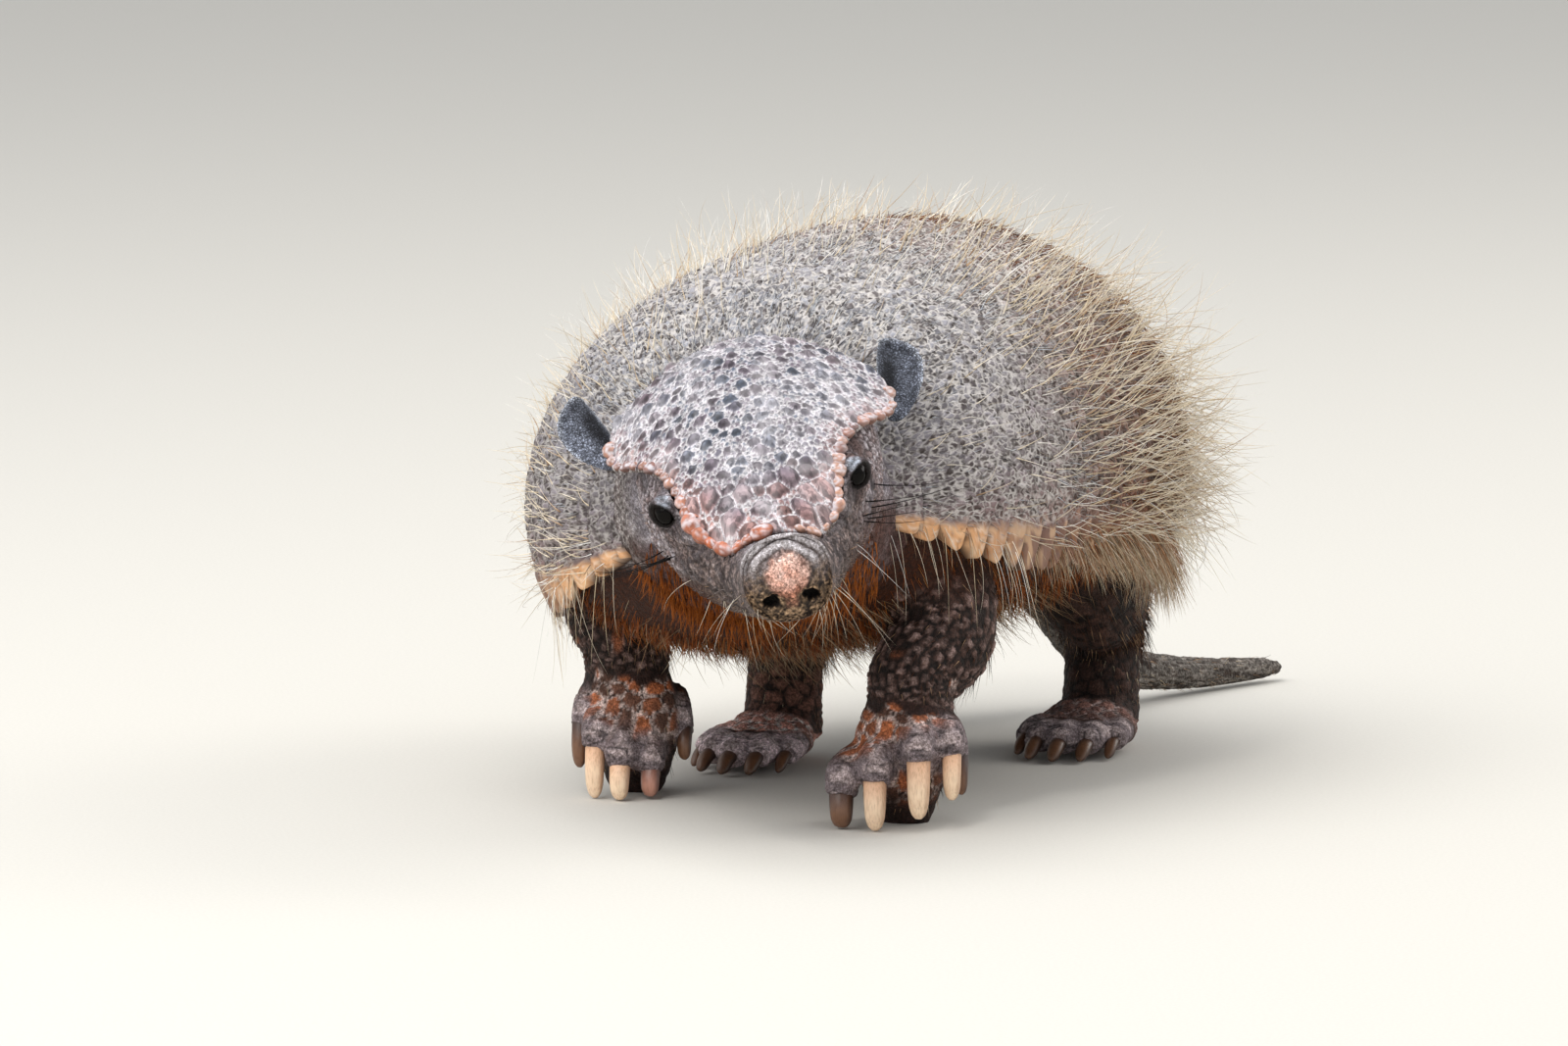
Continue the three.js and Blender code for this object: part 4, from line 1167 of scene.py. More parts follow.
def muzzle(p, n):
    """The blunt end of the snout: folds arched over a cushion of a pad, nostrils below. Moves and colours."""
    x, y, z = p.T
    end = smooth(-y, 84.5, 88.6)
    s = np.hypot(0.86 * x, z - PAD_HEIGHT) + np.maximum(y + 88.5, 0) + 1.3 * noise(p, 8, 44)
    angle = np.degrees(np.arctan2(z - PAD_HEIGHT, np.abs(x)))
    over = smooth(angle, -14, 30) * smooth(-y, 70, 76)
    ridge = sum(high * bell(s, at, 1.15) for at, high in ((7.9, 0.8), (10.8, 1.1), (14.2, 1.2), (18.2, 0.6)))
    crease = sum(deep * bell(s, at, 0.45) for at, deep in ((6.7, 0.7), (9.4, 1), (12.5, 0.8), (16.3, 0.6)))
    move = n * ((ridge - 0.6 * crease) * over)[:, None]
    move[:, 1] += end * 0.028 * np.hypot(x, z - NOSE_HEIGHT) ** 2
    r = np.hypot(x / 6.1, (z - PAD_HEIGHT) / 6.2) + 0.1 * noise(p, 2.6, 24) + 0.05 * noise(p, 1, 27)
    pad = smooth(1.16 - r, 0, 0.6)
    bridge = fade(np.abs(x + 0.5 * noise(p, 2, 26)), 0.7, 2.8)
    bridge = bridge * smooth(-z, 21, 23) * fade(-z, 26, 29.5)
    hole, lip = np.zeros(len(p)), np.zeros(len(p))
    for side in (-1, 1):
        gap = np.hypot((x - side * 5.8 + 0.25 * (z + 25.7) * side) / 2.8, (z + 25.7) / 2.2)
        gap = gap + 0.28 * noise(p, 1.3, 25)
        hole = np.maximum(hole, fade(gap, 0.5, 1.1))
        lip = np.maximum(lip, bell(gap, 1.5, 0.3))
    move[:, 1] -= end * (2.5 * pad * (1 - 0.2 * r * r) + 0.9 * bridge - 3.8 * hole + 0.35 * lip)
    low = smooth(-(z + 0.1 * np.abs(x)), 19, 25) * smooth(-y, 80, 88) * (1 - pad)
    grit = 0.6 * noise(p, 0.5, 8) + 0.6 * noise(p, 0.85, 7)
    move += n * (low * (0.22 * grit + 0.15 * noise(p, 1.6, 9)))[:, None]
    # Colours: fold crests with a painted highlight and creases with painted shade, a painted highlight over
    # the top of the folds, the lower end crusted with sand, a pink pad with a painted highlight on its upper
    # part, and nostrils painted black as shade in their holes.
    shallow = over * fade(s, 17, 24)
    sandy = np.clip(0.35 * end * (1 - over) + low, 0, 0.96)
    pink = np.clip(smooth(1.16 - r, 0, 0.3) + 0.65 * bridge, 0, 1)
    pad_tone = layered(
        mix(PAD, PAD_LOW, np.clip(smooth(-z, 19, 24) + 0.5 * patches(p, 2.2, 21, 0, 0.6), 0, 1)),
        # painted highlight: near-white patches over the upper part of the pad
        (linear(252, 228, 220), 0.7 * patches(p, 1.2, 22, 0.1, 0.6) * smooth(z, -20, -15)),
        (linear(96, 58, 42), 0.8 * smooth(noise(p, 0.7, 23) + 0.5 * smooth(r, 0.6, 1), 0.5, 0.8)),
    )
    colour = layered(
        mix(FACE, linear(150, 143, 146), smooth(-y, 66, 80)),
        (FACE_DARK, 0.5 * patches(p, 1.3, 41, 0.1, 0.6)),
        (FACE_PALE, 0.5 * patches(p, 0.9, 42, 0.2, 0.7)),
        (dusty_brown(p), 0.75 * smooth(-z + 3 * noise(p, 5, 44), 8, 19)),
        # painted highlight on the fold crests and painted shade in the creases between them
        (FOLD_CREST_HIGHLIGHT, 0.8 * shallow * smooth(ridge, 0.1, 0.8)),
        (FOLD_CREASE_SHADE, 0.8 * shallow * smooth(crease, 0.25, 0.9)),
        # painted highlight: a bluish-white band over the top of the folds
        (linear(206, 211, 220), 0.8 * over * smooth(s, 14.5, 17) * smooth(z, -15, -10) * (np.abs(x) < 11)),
        (mix(GRIT_DARK, GRIT_PALE, smooth(grit, -0.35, 0.55)), sandy),
        (pad_tone, end * pink),
        (GRIT_DARK, 0.7 * end * smooth(lip, 0.2, 0.9) * (1 - pad) * smooth(grit, -0.5, 0.3)),
        # painted shade: the nostril holes are painted black
        (BLACK, end * smooth(hole, 0.05, 0.45)),
    )
    return move, colour


def eye_opening(p, side, colour):
    """Lids that close over the eyeball all round a slanting almond opening, with painted shade round it and in
    the furrow and a painted highlight on the upper lid. Moves and colours.
    """
    centre, gaze, across, up = eye_frame(side)
    d = p - centre
    r = np.linalg.norm(d, axis=1)
    a, b, g = d @ across, d @ up, d @ gaze
    facing = smooth(g, 0.2, 1.2) * (r < 11)
    gap = np.hypot(a / 4.4, b / np.where(b > 0, 2.5, 3.1))
    opening = fade(gap, 0.86, 1.04) * facing
    lid = fade(gap, 1.15, 2.0) * facing * (1 - opening)
    margin, furrow = bell(gap, 1.2, 0.13) * facing, bell(gap, 1.62, 0.12) * facing
    reach = opening * (EYE_RADIUS - 1.4 - r) + lid * (EYE_RADIUS + 0.55 - r) + 0.3 * margin - 0.45 * furrow
    # Elsewhere on the front no skin may lie inside the eyeball.
    cover = np.where((g > 0) & (r < 9), np.maximum(EYE_RADIUS + 0.35 - r, 0), 0) * (1 - opening) * (1 - lid)
    patch = fade(np.hypot((a - 3.2) / 3.6, (b - 3.9) / 2.2), 0.55, 1.1) * facing
    colour = layered(
        colour,
        # painted shade: the sunken socket round the opening is darkened
        (linear(84, 76, 80), 0.7 * fade(gap, 1.3, 2.1) * facing),
        # painted highlight: a pale bluish patch on the upper lid
        (LID_HIGHLIGHT, patch * (0.55 + 0.35 * patches(p, 1.1, 61, -0.3, 0.4))),
        (BLACK * 2, np.clip(1.2 * bell(gap, 1.0, 0.17) * facing + opening, 0, 1)),
    )
    out = d / np.maximum(r, 0.1)[:, None]
    # painted shade: the furrow round the lids is darkened
    return out * (reach + cover)[:, None], mix(colour, colour * 0.4, 0.8 * furrow)


def shape_head(points, normals, tint):
    """Moves the head's vertices into folds, nostrils, pad and lids, and colours them."""
    p = to_head(points)
    x, y, z = p.T
    n = normals @ HEAD_TURN
    part = smooth(-y, -14, 2) * (np.hypot(x, z + 10) < 52)
    # Wrinkles of the cheeks, run back from the mouth; the mouth line itself; scales behind the eyes.
    lines = np.abs(noise(p * (1, 0.34, 1), 2.0, 31)) * smooth(-y, 0, 20) * fade(-y, 74, 82)
    pleats = np.abs(noise(p * (0.4, 1, 0.5), 3.1, 32)) * smooth(-y, 0, 12) * fade(-y, 64, 76)
    mouth = bell(z, -33.5 + 0.05 * (y + 85), 0.7) * smooth(-y, 40, 52) * fade(-y, 84, 88)
    mouth = mouth * smooth(np.abs(x), 5, 9)
    edge, label, _ = cells(y * 1.15, z * 1.1 + 0.2 * np.abs(x), (2.5, 2.3), None, 91, wander=0.35)
    scaly = smooth(-y, 2, 12) * fade(-y, 56, 68) * smooth(np.abs(x), 16, 22)
    scaly = scaly * patches(p, 9, 33, -0.5, 0.3)
    height = 0.9 * lines + 0.8 * pleats - 0.9 * mouth + 0.5 * scaly * smooth(edge, 0.05, 0.7) - 0.45
    move = n * height[:, None]
    tanned = smooth(-y, 2, 14) * fade(-y, 46, 62) * smooth(noise(p, 8, 35) + 0.025 * x, -0.2, 0.6)
    plates = mix(linear(92, 78, 80), mix(CHEEK, FACE_PALE, label), smooth(edge, 0.1, 0.5))
    jaw = smooth(-z + 3 * noise(p, 6, 37), 22, 34)
    grains = smooth(noise(p, 0.9, 38) + 0.4 * noise(p, 2.2, 39), -0.25, 0.4)
    ahead, forward = smooth(-y, 8, 16), smooth(-y, 30, 50)
    colour = layered(
        mix(FACE, FACE_PALE, 0.6 * patches(p, 2.4, 3, 0.0, 0.6)),
        (linear(112, 82, 72), 0.75 * tanned),
        # painted shade: the grooves of the wrinkles and pleats are darkened
        (FACE_DARK, 0.75 * fade(lines, 0.0, 0.22) * ahead),
        (FACE_DARK, 0.6 * fade(pleats, 0.0, 0.14) * ahead),
        (plates, 0.9 * scaly),
        (FACE_DARK, 0.7 * patches(p, 0.9, 36, 0.35, 0.75) * ahead),
        (dusty_brown(p), 0.75 * smooth(-z + 3 * noise(p, 5, 44), 8, 19) * forward),
        (mix(GRIT_DARK, linear(136, 116, 104), grains), 0.7 * jaw * forward),
        (CHEST * 1.6, 0.8 * jaw * fade(-y, 44, 62)),
    )
    nose_move, nose_colour = muzzle(p, n)
    to_nose = smooth(-y, 62, 74)
    move = move * (1 - to_nose)[:, None] + nose_move
    colour = mix(colour, nose_colour, to_nose)
    for side in (-1, 1):
        eye_move, colour = eye_opening(p, side, colour)
        near = fade(np.linalg.norm(p - eye_centre(side), axis=1), 6, 9)
        move = move * (1 - near)[:, None] + eye_move
    # What lies under the head shield stays under it.
    u, v = shield_place(p)
    covered = (np.abs(u) < 1.03) & (v > -0.03) & (v < 1.03) & (z > -16)
    ceiling = SHIELD_CROWN(v) - SHIELD_SAG(v) * u * u - SHIELD_THICK - 0.5
    move[:, 2] -= np.where(covered, np.maximum(z + move[:, 2] - ceiling, 0), 0)
    return points + (move * np.maximum(part, covered)[:, None]) @ HEAD_TURN.T, mix(tint, colour, part)


def eye_distance(points):
    """How far each point is from the nearer eye's centre."""
    p = to_head(points)
    return np.minimum(*(np.linalg.norm(p - eye_centre(side), axis=1) for side in (-1, 1)))


def hollow(mesh, points, normals, times):
    """How far each vertex lies below the surface around it, in millimetres."""
    return ((relax(mesh, points, times, hold=0) - points) * normals).sum(axis=1)


def skin_mesh():
    """The skin's even mesh, finer at face, neck and feet and finest round eyes and nose, and its points."""
    mesh = skin_form()
    points = relax(mesh, mesh_points(mesh), 4)
    points = relax(mesh, points, 6, fade(eye_distance(points), 9, 16), hold=0)
    p = to_head(points)
    face = (p[:, 1] < 0) & (np.abs(p[:, 0]) < 50) & (p[:, 2] < 12) & (p[:, 2] > -50)
    foot = points[:, 2] < 46
    foreleg = (points[:, 2] < 76) & (points[:, 1] < -20)
    nape = (p[:, 1] > -2) & (points[:, 1] < -56) & (points[:, 2] > 60)
    set_points(mesh, points)
    refine(mesh, face | foot | foreleg | nape)
    points = relax(mesh, mesh_points(mesh), 2)
    p = to_head(points)
    nose = (p[:, 1] < -74) & (np.abs(p[:, 0]) < 20) & (p[:, 2] > -40) & (p[:, 2] < 0)
    set_points(mesh, points)
    refine(mesh, (eye_distance(points) < 11.5) | nose)
    points = relax(mesh, mesh_points(mesh), 1)
    set_points(mesh, points)
    return mesh, points


def neck_skin(points, normals):
    """Colour and height of the neck's scaly skin, in folds square to its length."""
    x, y, z = to_head(points).T
    neck = smooth(y, -14, 2) * fade(points[:, 1], -66, -52) * smooth(points[:, 2], 58, 76)
    collar = shell_point(np.full(2, 0.02), np.array([-MARGIN_ANGLE, MARGIN_ANGLE]), 0)[:, 2]
    neck = neck * smooth(normals[:, 2] + 0.15 * noise(points, 7, 15), -0.55, -0.3)
    neck = neck * smooth(points[:, 2] - np.where(x < 0, *collar), -3, 3)
    across, along = z + 20 * np.sin(x / 40), y * 1.2 + np.abs(x) * 0.6
    edge, label, _ = cells(across, along, (2.6, 2.4), None, 77, wander=0.35)
    scaly = mix(linear(196, 190, 188), mix(NECK, NECK_DARK, label), smooth(edge, 0.2, 0.6))
    creased = np.abs(noise(stack(x, y, z) * (0.35, 1, 0.35), 4.2, 12))
    lift = neck * (0.6 * (smooth(creased, 0, 0.35) - 0.7) + 0.5 * smooth(edge, 0.1, 0.9))
    tint = mix(np.tile(CHEST, (len(points), 1)), scaly, neck)
    # painted shade: the creases between the neck's folds are darkened
    return tint * (1 - 0.35 * neck * fade(creased, 0, 0.16))[:, None], lift


def limb_scales(name, hind, paw):
    """How a limb is scaled: pitch, relief, and the colours of the scales, their rims and the grooves."""
    if name == "tail":
        return (3.4, 3.6), 0.45, TAIL_SCALE, linear(140, 135, 128), linear(62, 52, 46)
    if "toe" in name:
        return (6.5, 1.7), 0, TOE, TOE, TOE
    if paw and hind:
        return (6.2, 4.6), 0.6, linear(136, 100, 90), linear(176, 156, 152), PAW_GROOVE
    if paw:
        return (6.2, 4.6), 0.6, PAW, PAW_RIM, PAW_GROOVE
    if hind:
        return (5.6, 3.4), 0.4, HINDLEG, HINDLEG * 0.8, linear(20, 11, 8)
    return (4.6, 2.7), 0.7, LEG_RIM, LEG, linear(22, 12, 8)


def limb_skin(number, name, points, normals, tint, lift):
    """Colours and raises the skin near one limb, in the arrays of the whole skin."""
    path, across, deep = LIMBS[name]
    toe, palm = "toe" in name, "palm" in name
    hind, paw = "hind" in name or "sole" in name or "ankle" in name, toe or palm or "sole" in name
    low, high = np.min(path, axis=0) - 34, np.max(path, axis=0) + 34
    inside = np.flatnonzero(((points > low) & (points < high)).all(axis=1))
    here = points[inside]
    distance, t, angle, length = nearest(here, path)
    reach = np.maximum(across(t), deep(t))
    weight = fade(distance, reach + 0.6, reach + 3.5)
    if toe:
        weight = weight * smooth(t + 0.1 * noise(here, 4, number), 0.3, 0.6)
    else:
        weight = weight * (t > 0.001) * ((t < 0.999) | (name == "tail") | ("leg" in name))
    if not paw and name != "tail":
        weight = weight * smooth(-here[:, 2], -78, -62)
    pitch, relief, colour, rim, groove = limb_scales(name, hind, paw)
    chart = stack(angle * float(np.mean(reach)), t * length, 0 * t)
    drift = 0.8 * noise(chart, 6, 5)
    wander = 0.34 if paw else 0.48
    edge, label, _ = cells(chart[:, 0] + drift, chart[:, 1] - drift, pitch, None, 7 * number, wander=wander)
    varied = (0.6 + 0.8 * label)[:, None]
    if palm:
        colour = mix(PAW_BROWN, PAW, smooth(label, 0.3, 0.9))
    inner, outer = ((0.04, 0.16), (0.3, 0.55)) if paw else ((0.12, 0.4), (0.35, 1.0))
    paint = mix(mix(groove, rim, smooth(edge, *inner)), colour, smooth(edge, *outer)) * varied
    # painted light: the right hind sole, ankle and lower leg are brightened, standing in for light under the
    # body where the lamps leave shade
    if name in ("sole_right", "ankle_right"):
        paint = paint * 2.8
    if name == "hindleg_right":
        paint = paint * (1 + 1.5 * smooth(t, 0.4, 0.7))[:, None]
    if palm:
        # Scales on the front only, over dark skin.
        front = smooth(-normals[inside, 1] + 0.3 * noise(here, 9, 3), -0.2, 0.3) * fade(t, 0.55, 0.8)
        front = front * smooth(t + 0.22 * noise(here, 6, 9), 0.04, 0.16)
        paint = mix(PAW_GROOVE * (0.8 + 0.8 * label)[:, None], paint, front)
        weight = 1 - (1 - weight) * (1 - 0.9 * front * fade(distance, reach + 3, reach + 7))
        relief = relief * (0.4 + 0.6 * front)
    raised = relief * (smooth(edge, 0.1, 1.1) - 0.35) * (0.7 + 0.6 * label)
    if toe:
        # Toes have wrinkles round them in place of scales.
        wrinkle = np.abs(noise(chart * (0.3, 1, 1), 1.7, number))
        # painted light: the right hind toes are brightened in the same way
        tone = TOE * (3.6 if name.startswith("hindtoe_right") else 1.1)
        pale = mix(tone, linear(200, 184, 184), patches(chart, 3, 2, 0, 0.7))
        # painted shade: the grooves between the toe's wrinkles are darkened
        paint = mix(tone * 0.3, pale, smooth(wrinkle, 0.02, 0.18))
        raised = 0.3 * (smooth(wrinkle, 0, 0.3) - 0.6)
    tint[inside] = mix(tint[inside], paint, weight)
    lift[inside] = lift[inside] * (1 - weight) + weight * raised


def skin():
    limb_table()
    mesh, points = skin_mesh()
    normals = mesh_normals(mesh)
    tint, lift = neck_skin(points, normals)
    for i, name in enumerate(LIMBS):
        limb_skin(i, name, points, normals, tint, lift)
    lift *= fade(-points[:, 2], -3.5, -1.2)  # the soles stay flat
    points = points + normals * lift[:, None]
    # painted shade: the skin is darkened up to three quarters where it lies below the surface around it, in
    # hollows and between toes
    tint = tint * (1 - 0.75 * smooth(hollow(mesh, points, normals, 6), 0.1, 0.8))[:, None]
    points, tint = shape_head(points, normals, tint)
    points[:, 2] = np.maximum(points[:, 2], 0.0)
    set_points(mesh, points)
    set_tint(mesh, tint)
    mesh.shade_smooth()
    mesh.materials.clear()
    mesh.materials.append(HIDE)
    hide = bpy.data.objects.new("skin", mesh)
    bpy.context.scene.collection.objects.link(hide)
    nodes = ["trunk", "neck", "head", "tail_base", "tail_tip"]
    for name in SIDES:
        nodes += [f"{part}_{name}" for part in ("forefoot", "foreleg", "hindfoot", "hindleg")]
    dress(hide, "skin", *nodes)


# ------------------------------------------------------------------ eyes, ears and claws


def eyes():
    for name, side in SIDES.items():
        centre, gaze, across, up = eye_frame(side)
        rings, around = 48, 64
        a, b = rings_grid(0.002, np.pi - 0.002, rings, around)
        cornea = 0.35 * fade(a, 0.35, 0.75)
        local = on_sphere(a, b) * (EYE_RADIUS - 0.25 + cornea)[:, None]
        points = centre + local[:, :1] * across + local[:, 1:2] * up + local[:, 2:] * gaze
        tint = mix(linear(6, 5, 5), linear(14, 9, 7), smooth(a, 0.5, 0.8))
        thing = make(f"eyeball_{name}", from_head(points), capped(rings, around), tint, WET)
        dress(thing, "eye", f"eye_{name}")


def ears():
    """Ears like spoons: a sphere drawn out into a leaf, hollowed in front, with a rim and a grainy skin."""
    for name, side in SIDES.items():
        root, back, outward, twist = EARS[name]
        rings, around = 96, 128
        a, b = rings_grid(0.01, np.pi - 0.01, rings, around)
        ux, uy, uz = np.sin(a) ** 0.8 * np.cos(b), np.sin(a) * np.sin(b), -np.cos(a)
        up = (uz + 1) / 2
        wide = EAR["width"] / 2 * (0.62 + 0.38 * smooth(up, 0, 0.6)) * (1 + EAR["fullness"] * uz * uz)
        hollowed = smooth(-uy, 0.0, 0.35) * (1 - np.abs(ux) ** 3)
        hollowed = hollowed * smooth(up, 0.05, 0.3) * fade(up, 0.84, 0.98)
        spot = stack(ux * wide, uy * 2, up * EAR["height"])
        beads = 0.12 * noise(spot, 0.9, 4)
        thick = EAR["thickness"] * (0.75 + 0.25 * (1 - np.abs(ux)))
        y = uy * thick - EAR["cup"] * ux * ux + EAR["bow"] * up + 1.9 * hollowed + beads * np.sign(uy)
        points = stack(ux * (wide + beads), y, up * EAR["height"])
        facing = turn("Y", side * outward) @ turn("X", -back) @ turn("Z", side * twist)
        rim = smooth(np.hypot(ux, np.maximum(uz, 0) * 0.97), 0.84, 1.0) * (1 - hollowed)
        # painted shade: the hollow in front of the ear, toward one side, is darkened nearly to black
        depth = np.hypot((side * ux + 0.34) / 0.62, (uz + 0.1) / 1.05) + 0.15 * noise(spot, 4, 6)
        dark = fade(depth, 0.3, 1.05) * (uy < 0)
        tint = mix(linear(104, 108, 120), linear(16, 16, 19), 0.9 * dark) * (0.7 if side > 0 else 1)
        tint = mix(tint, linear(160, 164, 174), 0.8 * rim)
        tint = tint * (0.7 + 0.7 * patches(spot, 1.1, 5, -0.3, 0.5))[:, None]
        points = from_head(points @ facing.T + root)
        dress(make(f"ear_leaf_{name}", points, capped(rings, around), tint, EAR_GRAIN), "ear", f"ear_{name}")


def claw(name, path, r, flat, place, base, tip, slot):
    """An arched horn, parallel-sided then blunt, with painted shade down its sides and darker where it leaves
    the toe.
    """
    around, rings = 28, 30
    across = profile((0, r), (0.7, r * 0.88), (0.92, r * 0.62), (1, r * 0.28))
    deep = profile((0, r * flat), (0.7, r * 0.74 * flat), (0.92, r * 0.5 * flat), (1, r * 0.2 * flat))
    points, faces = loft(on_foot(path, place), across, deep, around, rings)
    share = np.clip((np.repeat(np.arange(rings + 2), around) - 1) / (rings - 1), 0, 1)
    angle = np.tile(np.arange(around) * 2 * np.pi / around, rings + 2)
    tint = layered(
        mix(base, tip, smooth(share, 0.1, 0.65)),
        (base, 0.15 + 0.15 * noise(points, 1.6, 3)),
        # painted shade: the sides of the claw are darkened
        (base * 0.6, 0.7 * smooth(np.abs(np.cos(angle)), 0.72, 0.98)),
        (base * 0.4, 0.7 * fade(share, 0.0, 0.2)),
    )
    points[:, 2] = np.maximum(points[:, 2], 0.05)
    dress(make(name + "_horn", points, faces, tint, HORN), slot, name)


def claws():
    ivory, cream = linear(255, 228, 196), linear(232, 184, 148)
    amber, mahogany = linear(130, 92, 66), linear(70, 46, 38)
    for name, side in SIDES.items():
        for i, (x, y, root, r, end) in enumerate(FORE_DIGITS[name]):
            x = side * x
            path = [(x, y - 0.4, root + 1.5), (x, y - 3.4, root + (end - root) * 0.45), (x, y - 3.0, end)]
            outer = i in (0, 4)
            tones = (mahogany, amber) if outer else (cream, ivory)
            if name == "right" and i == 1:
                tones = (linear(120, 82, 72), linear(196, 142, 122))
            slot = "dark_claw" if outer else "claw"
            claw(f"claw_{name}_{i + 1}", path, r, 0.95, FORE_FEET[name], *tones, slot)
        for i, (x, y, r) in enumerate(HIND_DIGITS):
            x = side * x
            path = [(x * 1.06, y - 9, 6.2), (x * 1.09, y - 14, 4.8), (x * 1.11, y - 18.5, 1.2)]
            tones = (mahogany * 0.7, amber * 0.8)
            claw(f"claw_hind_{name}_{i + 1}", path, r * 0.86, 0.85, HIND_FEET[name], *tones, "dark_claw")


skin()
eyes()
ears()
claws()

# ------------------------------------------------------------------ coat

COAT_SEEDS = np.random.default_rng(41)
SIDE_ROOM, TOP_ROOM, FLOOR_ROOM = 4.5, 4, 0.6  # how far past the solids' box and how low hair may reach
REACH_LOW = np.array([*(np.array(CAD_BOX[0])[:2] / MM - SIDE_ROOM), FLOOR_ROOM])
REACH_HIGH = np.array(CAD_BOX[1]) / MM + (SIDE_ROOM, SIDE_ROOM, TOP_ROOM)
DOWN = np.array([0, 0, -1.0])


def spread(low, high, count):
    return COAT_SEEDS.uniform(low, high, count)


def strays(amount, count):
    """A random step for each of count hairs, in three directions."""
    return COAT_SEEDS.normal(0, amount, (count, 3))


def frame_on(surface, a, b, step_a, step_b):
    """Points of a surface with the two directions along it and its outward normal."""
    p = surface(a, b)
    along = unit(surface(a + step_a, b) - p)
    round_it = unit(surface(a, b + step_b) - p)
    return p, along, round_it, unit(np.cross(round_it, along))


def turned_out(normal, out):
    """Normals, turned round where they point inwards."""
    return np.where((normal * out).sum(-1, keepdims=True) < 0, -normal, normal)


def hair_lines(root, lie, normal, length, lift, end, rings, sag, curl):
    """The middle line of each hair and its headings, shortened where it would pass the reach."""
    lie = unit(lie - normal * (lie * normal).sum(-1, keepdims=True))
    sideways = np.cross(normal, lie)
    bend = COAT_SEEDS.normal(0, 1, (len(root), 2)) * curl
    for _ in range(3):
        spots, heading = [root - normal * 0.4], []
        for k in range(rings):
            s = (k + 0.5) / rings
            rise = lift * (1 - s) + end * s
            way = lie * np.cos(rise)[:, None] + normal * np.sin(rise)[:, None]
            way = way + sideways * (bend[:, :1] * s) + normal * (bend[:, 1:] * s * s)
            way[:, 2] -= sag * s
            way = unit(way)
            heading.append(way)
            spots.append(spots[-1] + way * (length / rings)[:, None])
        tip = spots[-1] + PLACE
        over = np.maximum(REACH_LOW - tip, tip - REACH_HIGH).max(axis=1)
        if over.max() < 0.2:
            break
        length = np.where(over > 0, np.maximum(length - 1.3 * over, 1.5), length)
    return spots, heading


def hair_faces(rings):
    """The triangles of one hair: sides between its rings of three points, the pointed tip and the root."""
    faces = []
    for k in range(rings - 1):
        for j in range(3):
            a, b = 3 * k + j, 3 * k + (j + 1) % 3
            faces += [(a, b, b + 3), (a, b + 3, a + 3)]
    last = 3 * (rings - 1)
    faces += [(last + j, last + (j + 1) % 3, last + 3) for j in range(3)]
    return np.array([*faces, (0, 2, 1)])


def coat(name, root, lie, normal, length, radius, lift, tint, unwrap, rings=5, sag=0.0, curl=0.0,
         tip_tint=None, lift_end=None, slot="shell"):
    """Closed, tapering three-sided hairs that start in the skin and bend along the lie of the coat.

    lift and lift_end are the degrees by which a hair stands off the skin at its root and tip, sag how far it
    hangs, curl how unevenly it runs, and unwrap its place on the bake map.
    """
    n = len(root)
    ones = np.ones(n)
    lift = np.radians(lift * ones)
    end = lift * 0.5 if lift_end is None else np.radians(lift_end * ones)
    spots, heading = hair_lines(root, lie, normal, length * ones, lift, end, rings, sag, curl)
    rows = []
    for k in range(rings):
        thick = radius * ones * (1.2 if k == 1 else 0.75) * (1 - k / rings) ** 0.55
        side = unit(np.cross(heading[k], normal + 0.02))
        other = np.cross(heading[k], side)
        for j in range(3):
            turn_by = 2 * np.pi * j / 3
            rows.append(spots[k] + (side * np.cos(turn_by) + other * np.sin(turn_by)) * thick[:, None])
    rows.append(spots[rings])
    points = np.stack(rows, 1).reshape(-1, 3)
    faces = (hair_faces(rings)[None] + (np.arange(n) * len(rows))[:, None, None]).reshape(-1, 3)
    share = np.append(np.repeat(np.arange(rings) / rings, 3), 1.0)
    tip_tint = tint if tip_tint is None else tip_tint
    colour = tint[:, None] * (1 - share[None, :, None]) + tip_tint[:, None] * share[None, :, None]
    patch = stack(np.append(np.tile([0.0015, -0.00075, -0.00075], rings), 0), (share - 0.5) * 0.003)
    uv = np.clip(unwrap, 0.002, 0.998)[:, None] + patch[None]
    thing = make(name, points, faces, colour.reshape(-1, 3), BRISTLE, uv=uv.reshape(-1, 2))
    dress(thing, slot)


STRAW, CREAM, WHITE = linear(216, 198, 168), linear(236, 224, 204), linear(242, 240, 236)
FAWN, RUSTY, UMBER = linear(172, 138, 106), linear(156, 82, 28), linear(74, 42, 22)
DARK_HAIR, SILVER = linear(34, 22, 16), linear(198, 204, 214)


def toned(n, *choices):
    """A random colour for each of n hairs, from (share, colour) choices, each a little lighter or darker."""
    shares = np.array([c[0] for c in choices], float)
    pick = COAT_SEEDS.choice(len(choices), n, p=shares / shares.sum())
    return np.array([c[1] for c in choices])[pick] * spread(0.75, 1.15, (n, 1))


def thin_out(n, weight):
    """Roots scattered over (0, 1) squared, kept where weight(a, b) is high."""
    a, b = spread(0, 1, (2, int(n * FINE * 4)))
    keep = spread(0, 1, len(a)) < weight(a, b)
    return a[keep][: int(n * FINE)], b[keep][: int(n * FINE)]


def on_back(t, phi):
    return shell_point(t, phi, 0.25)


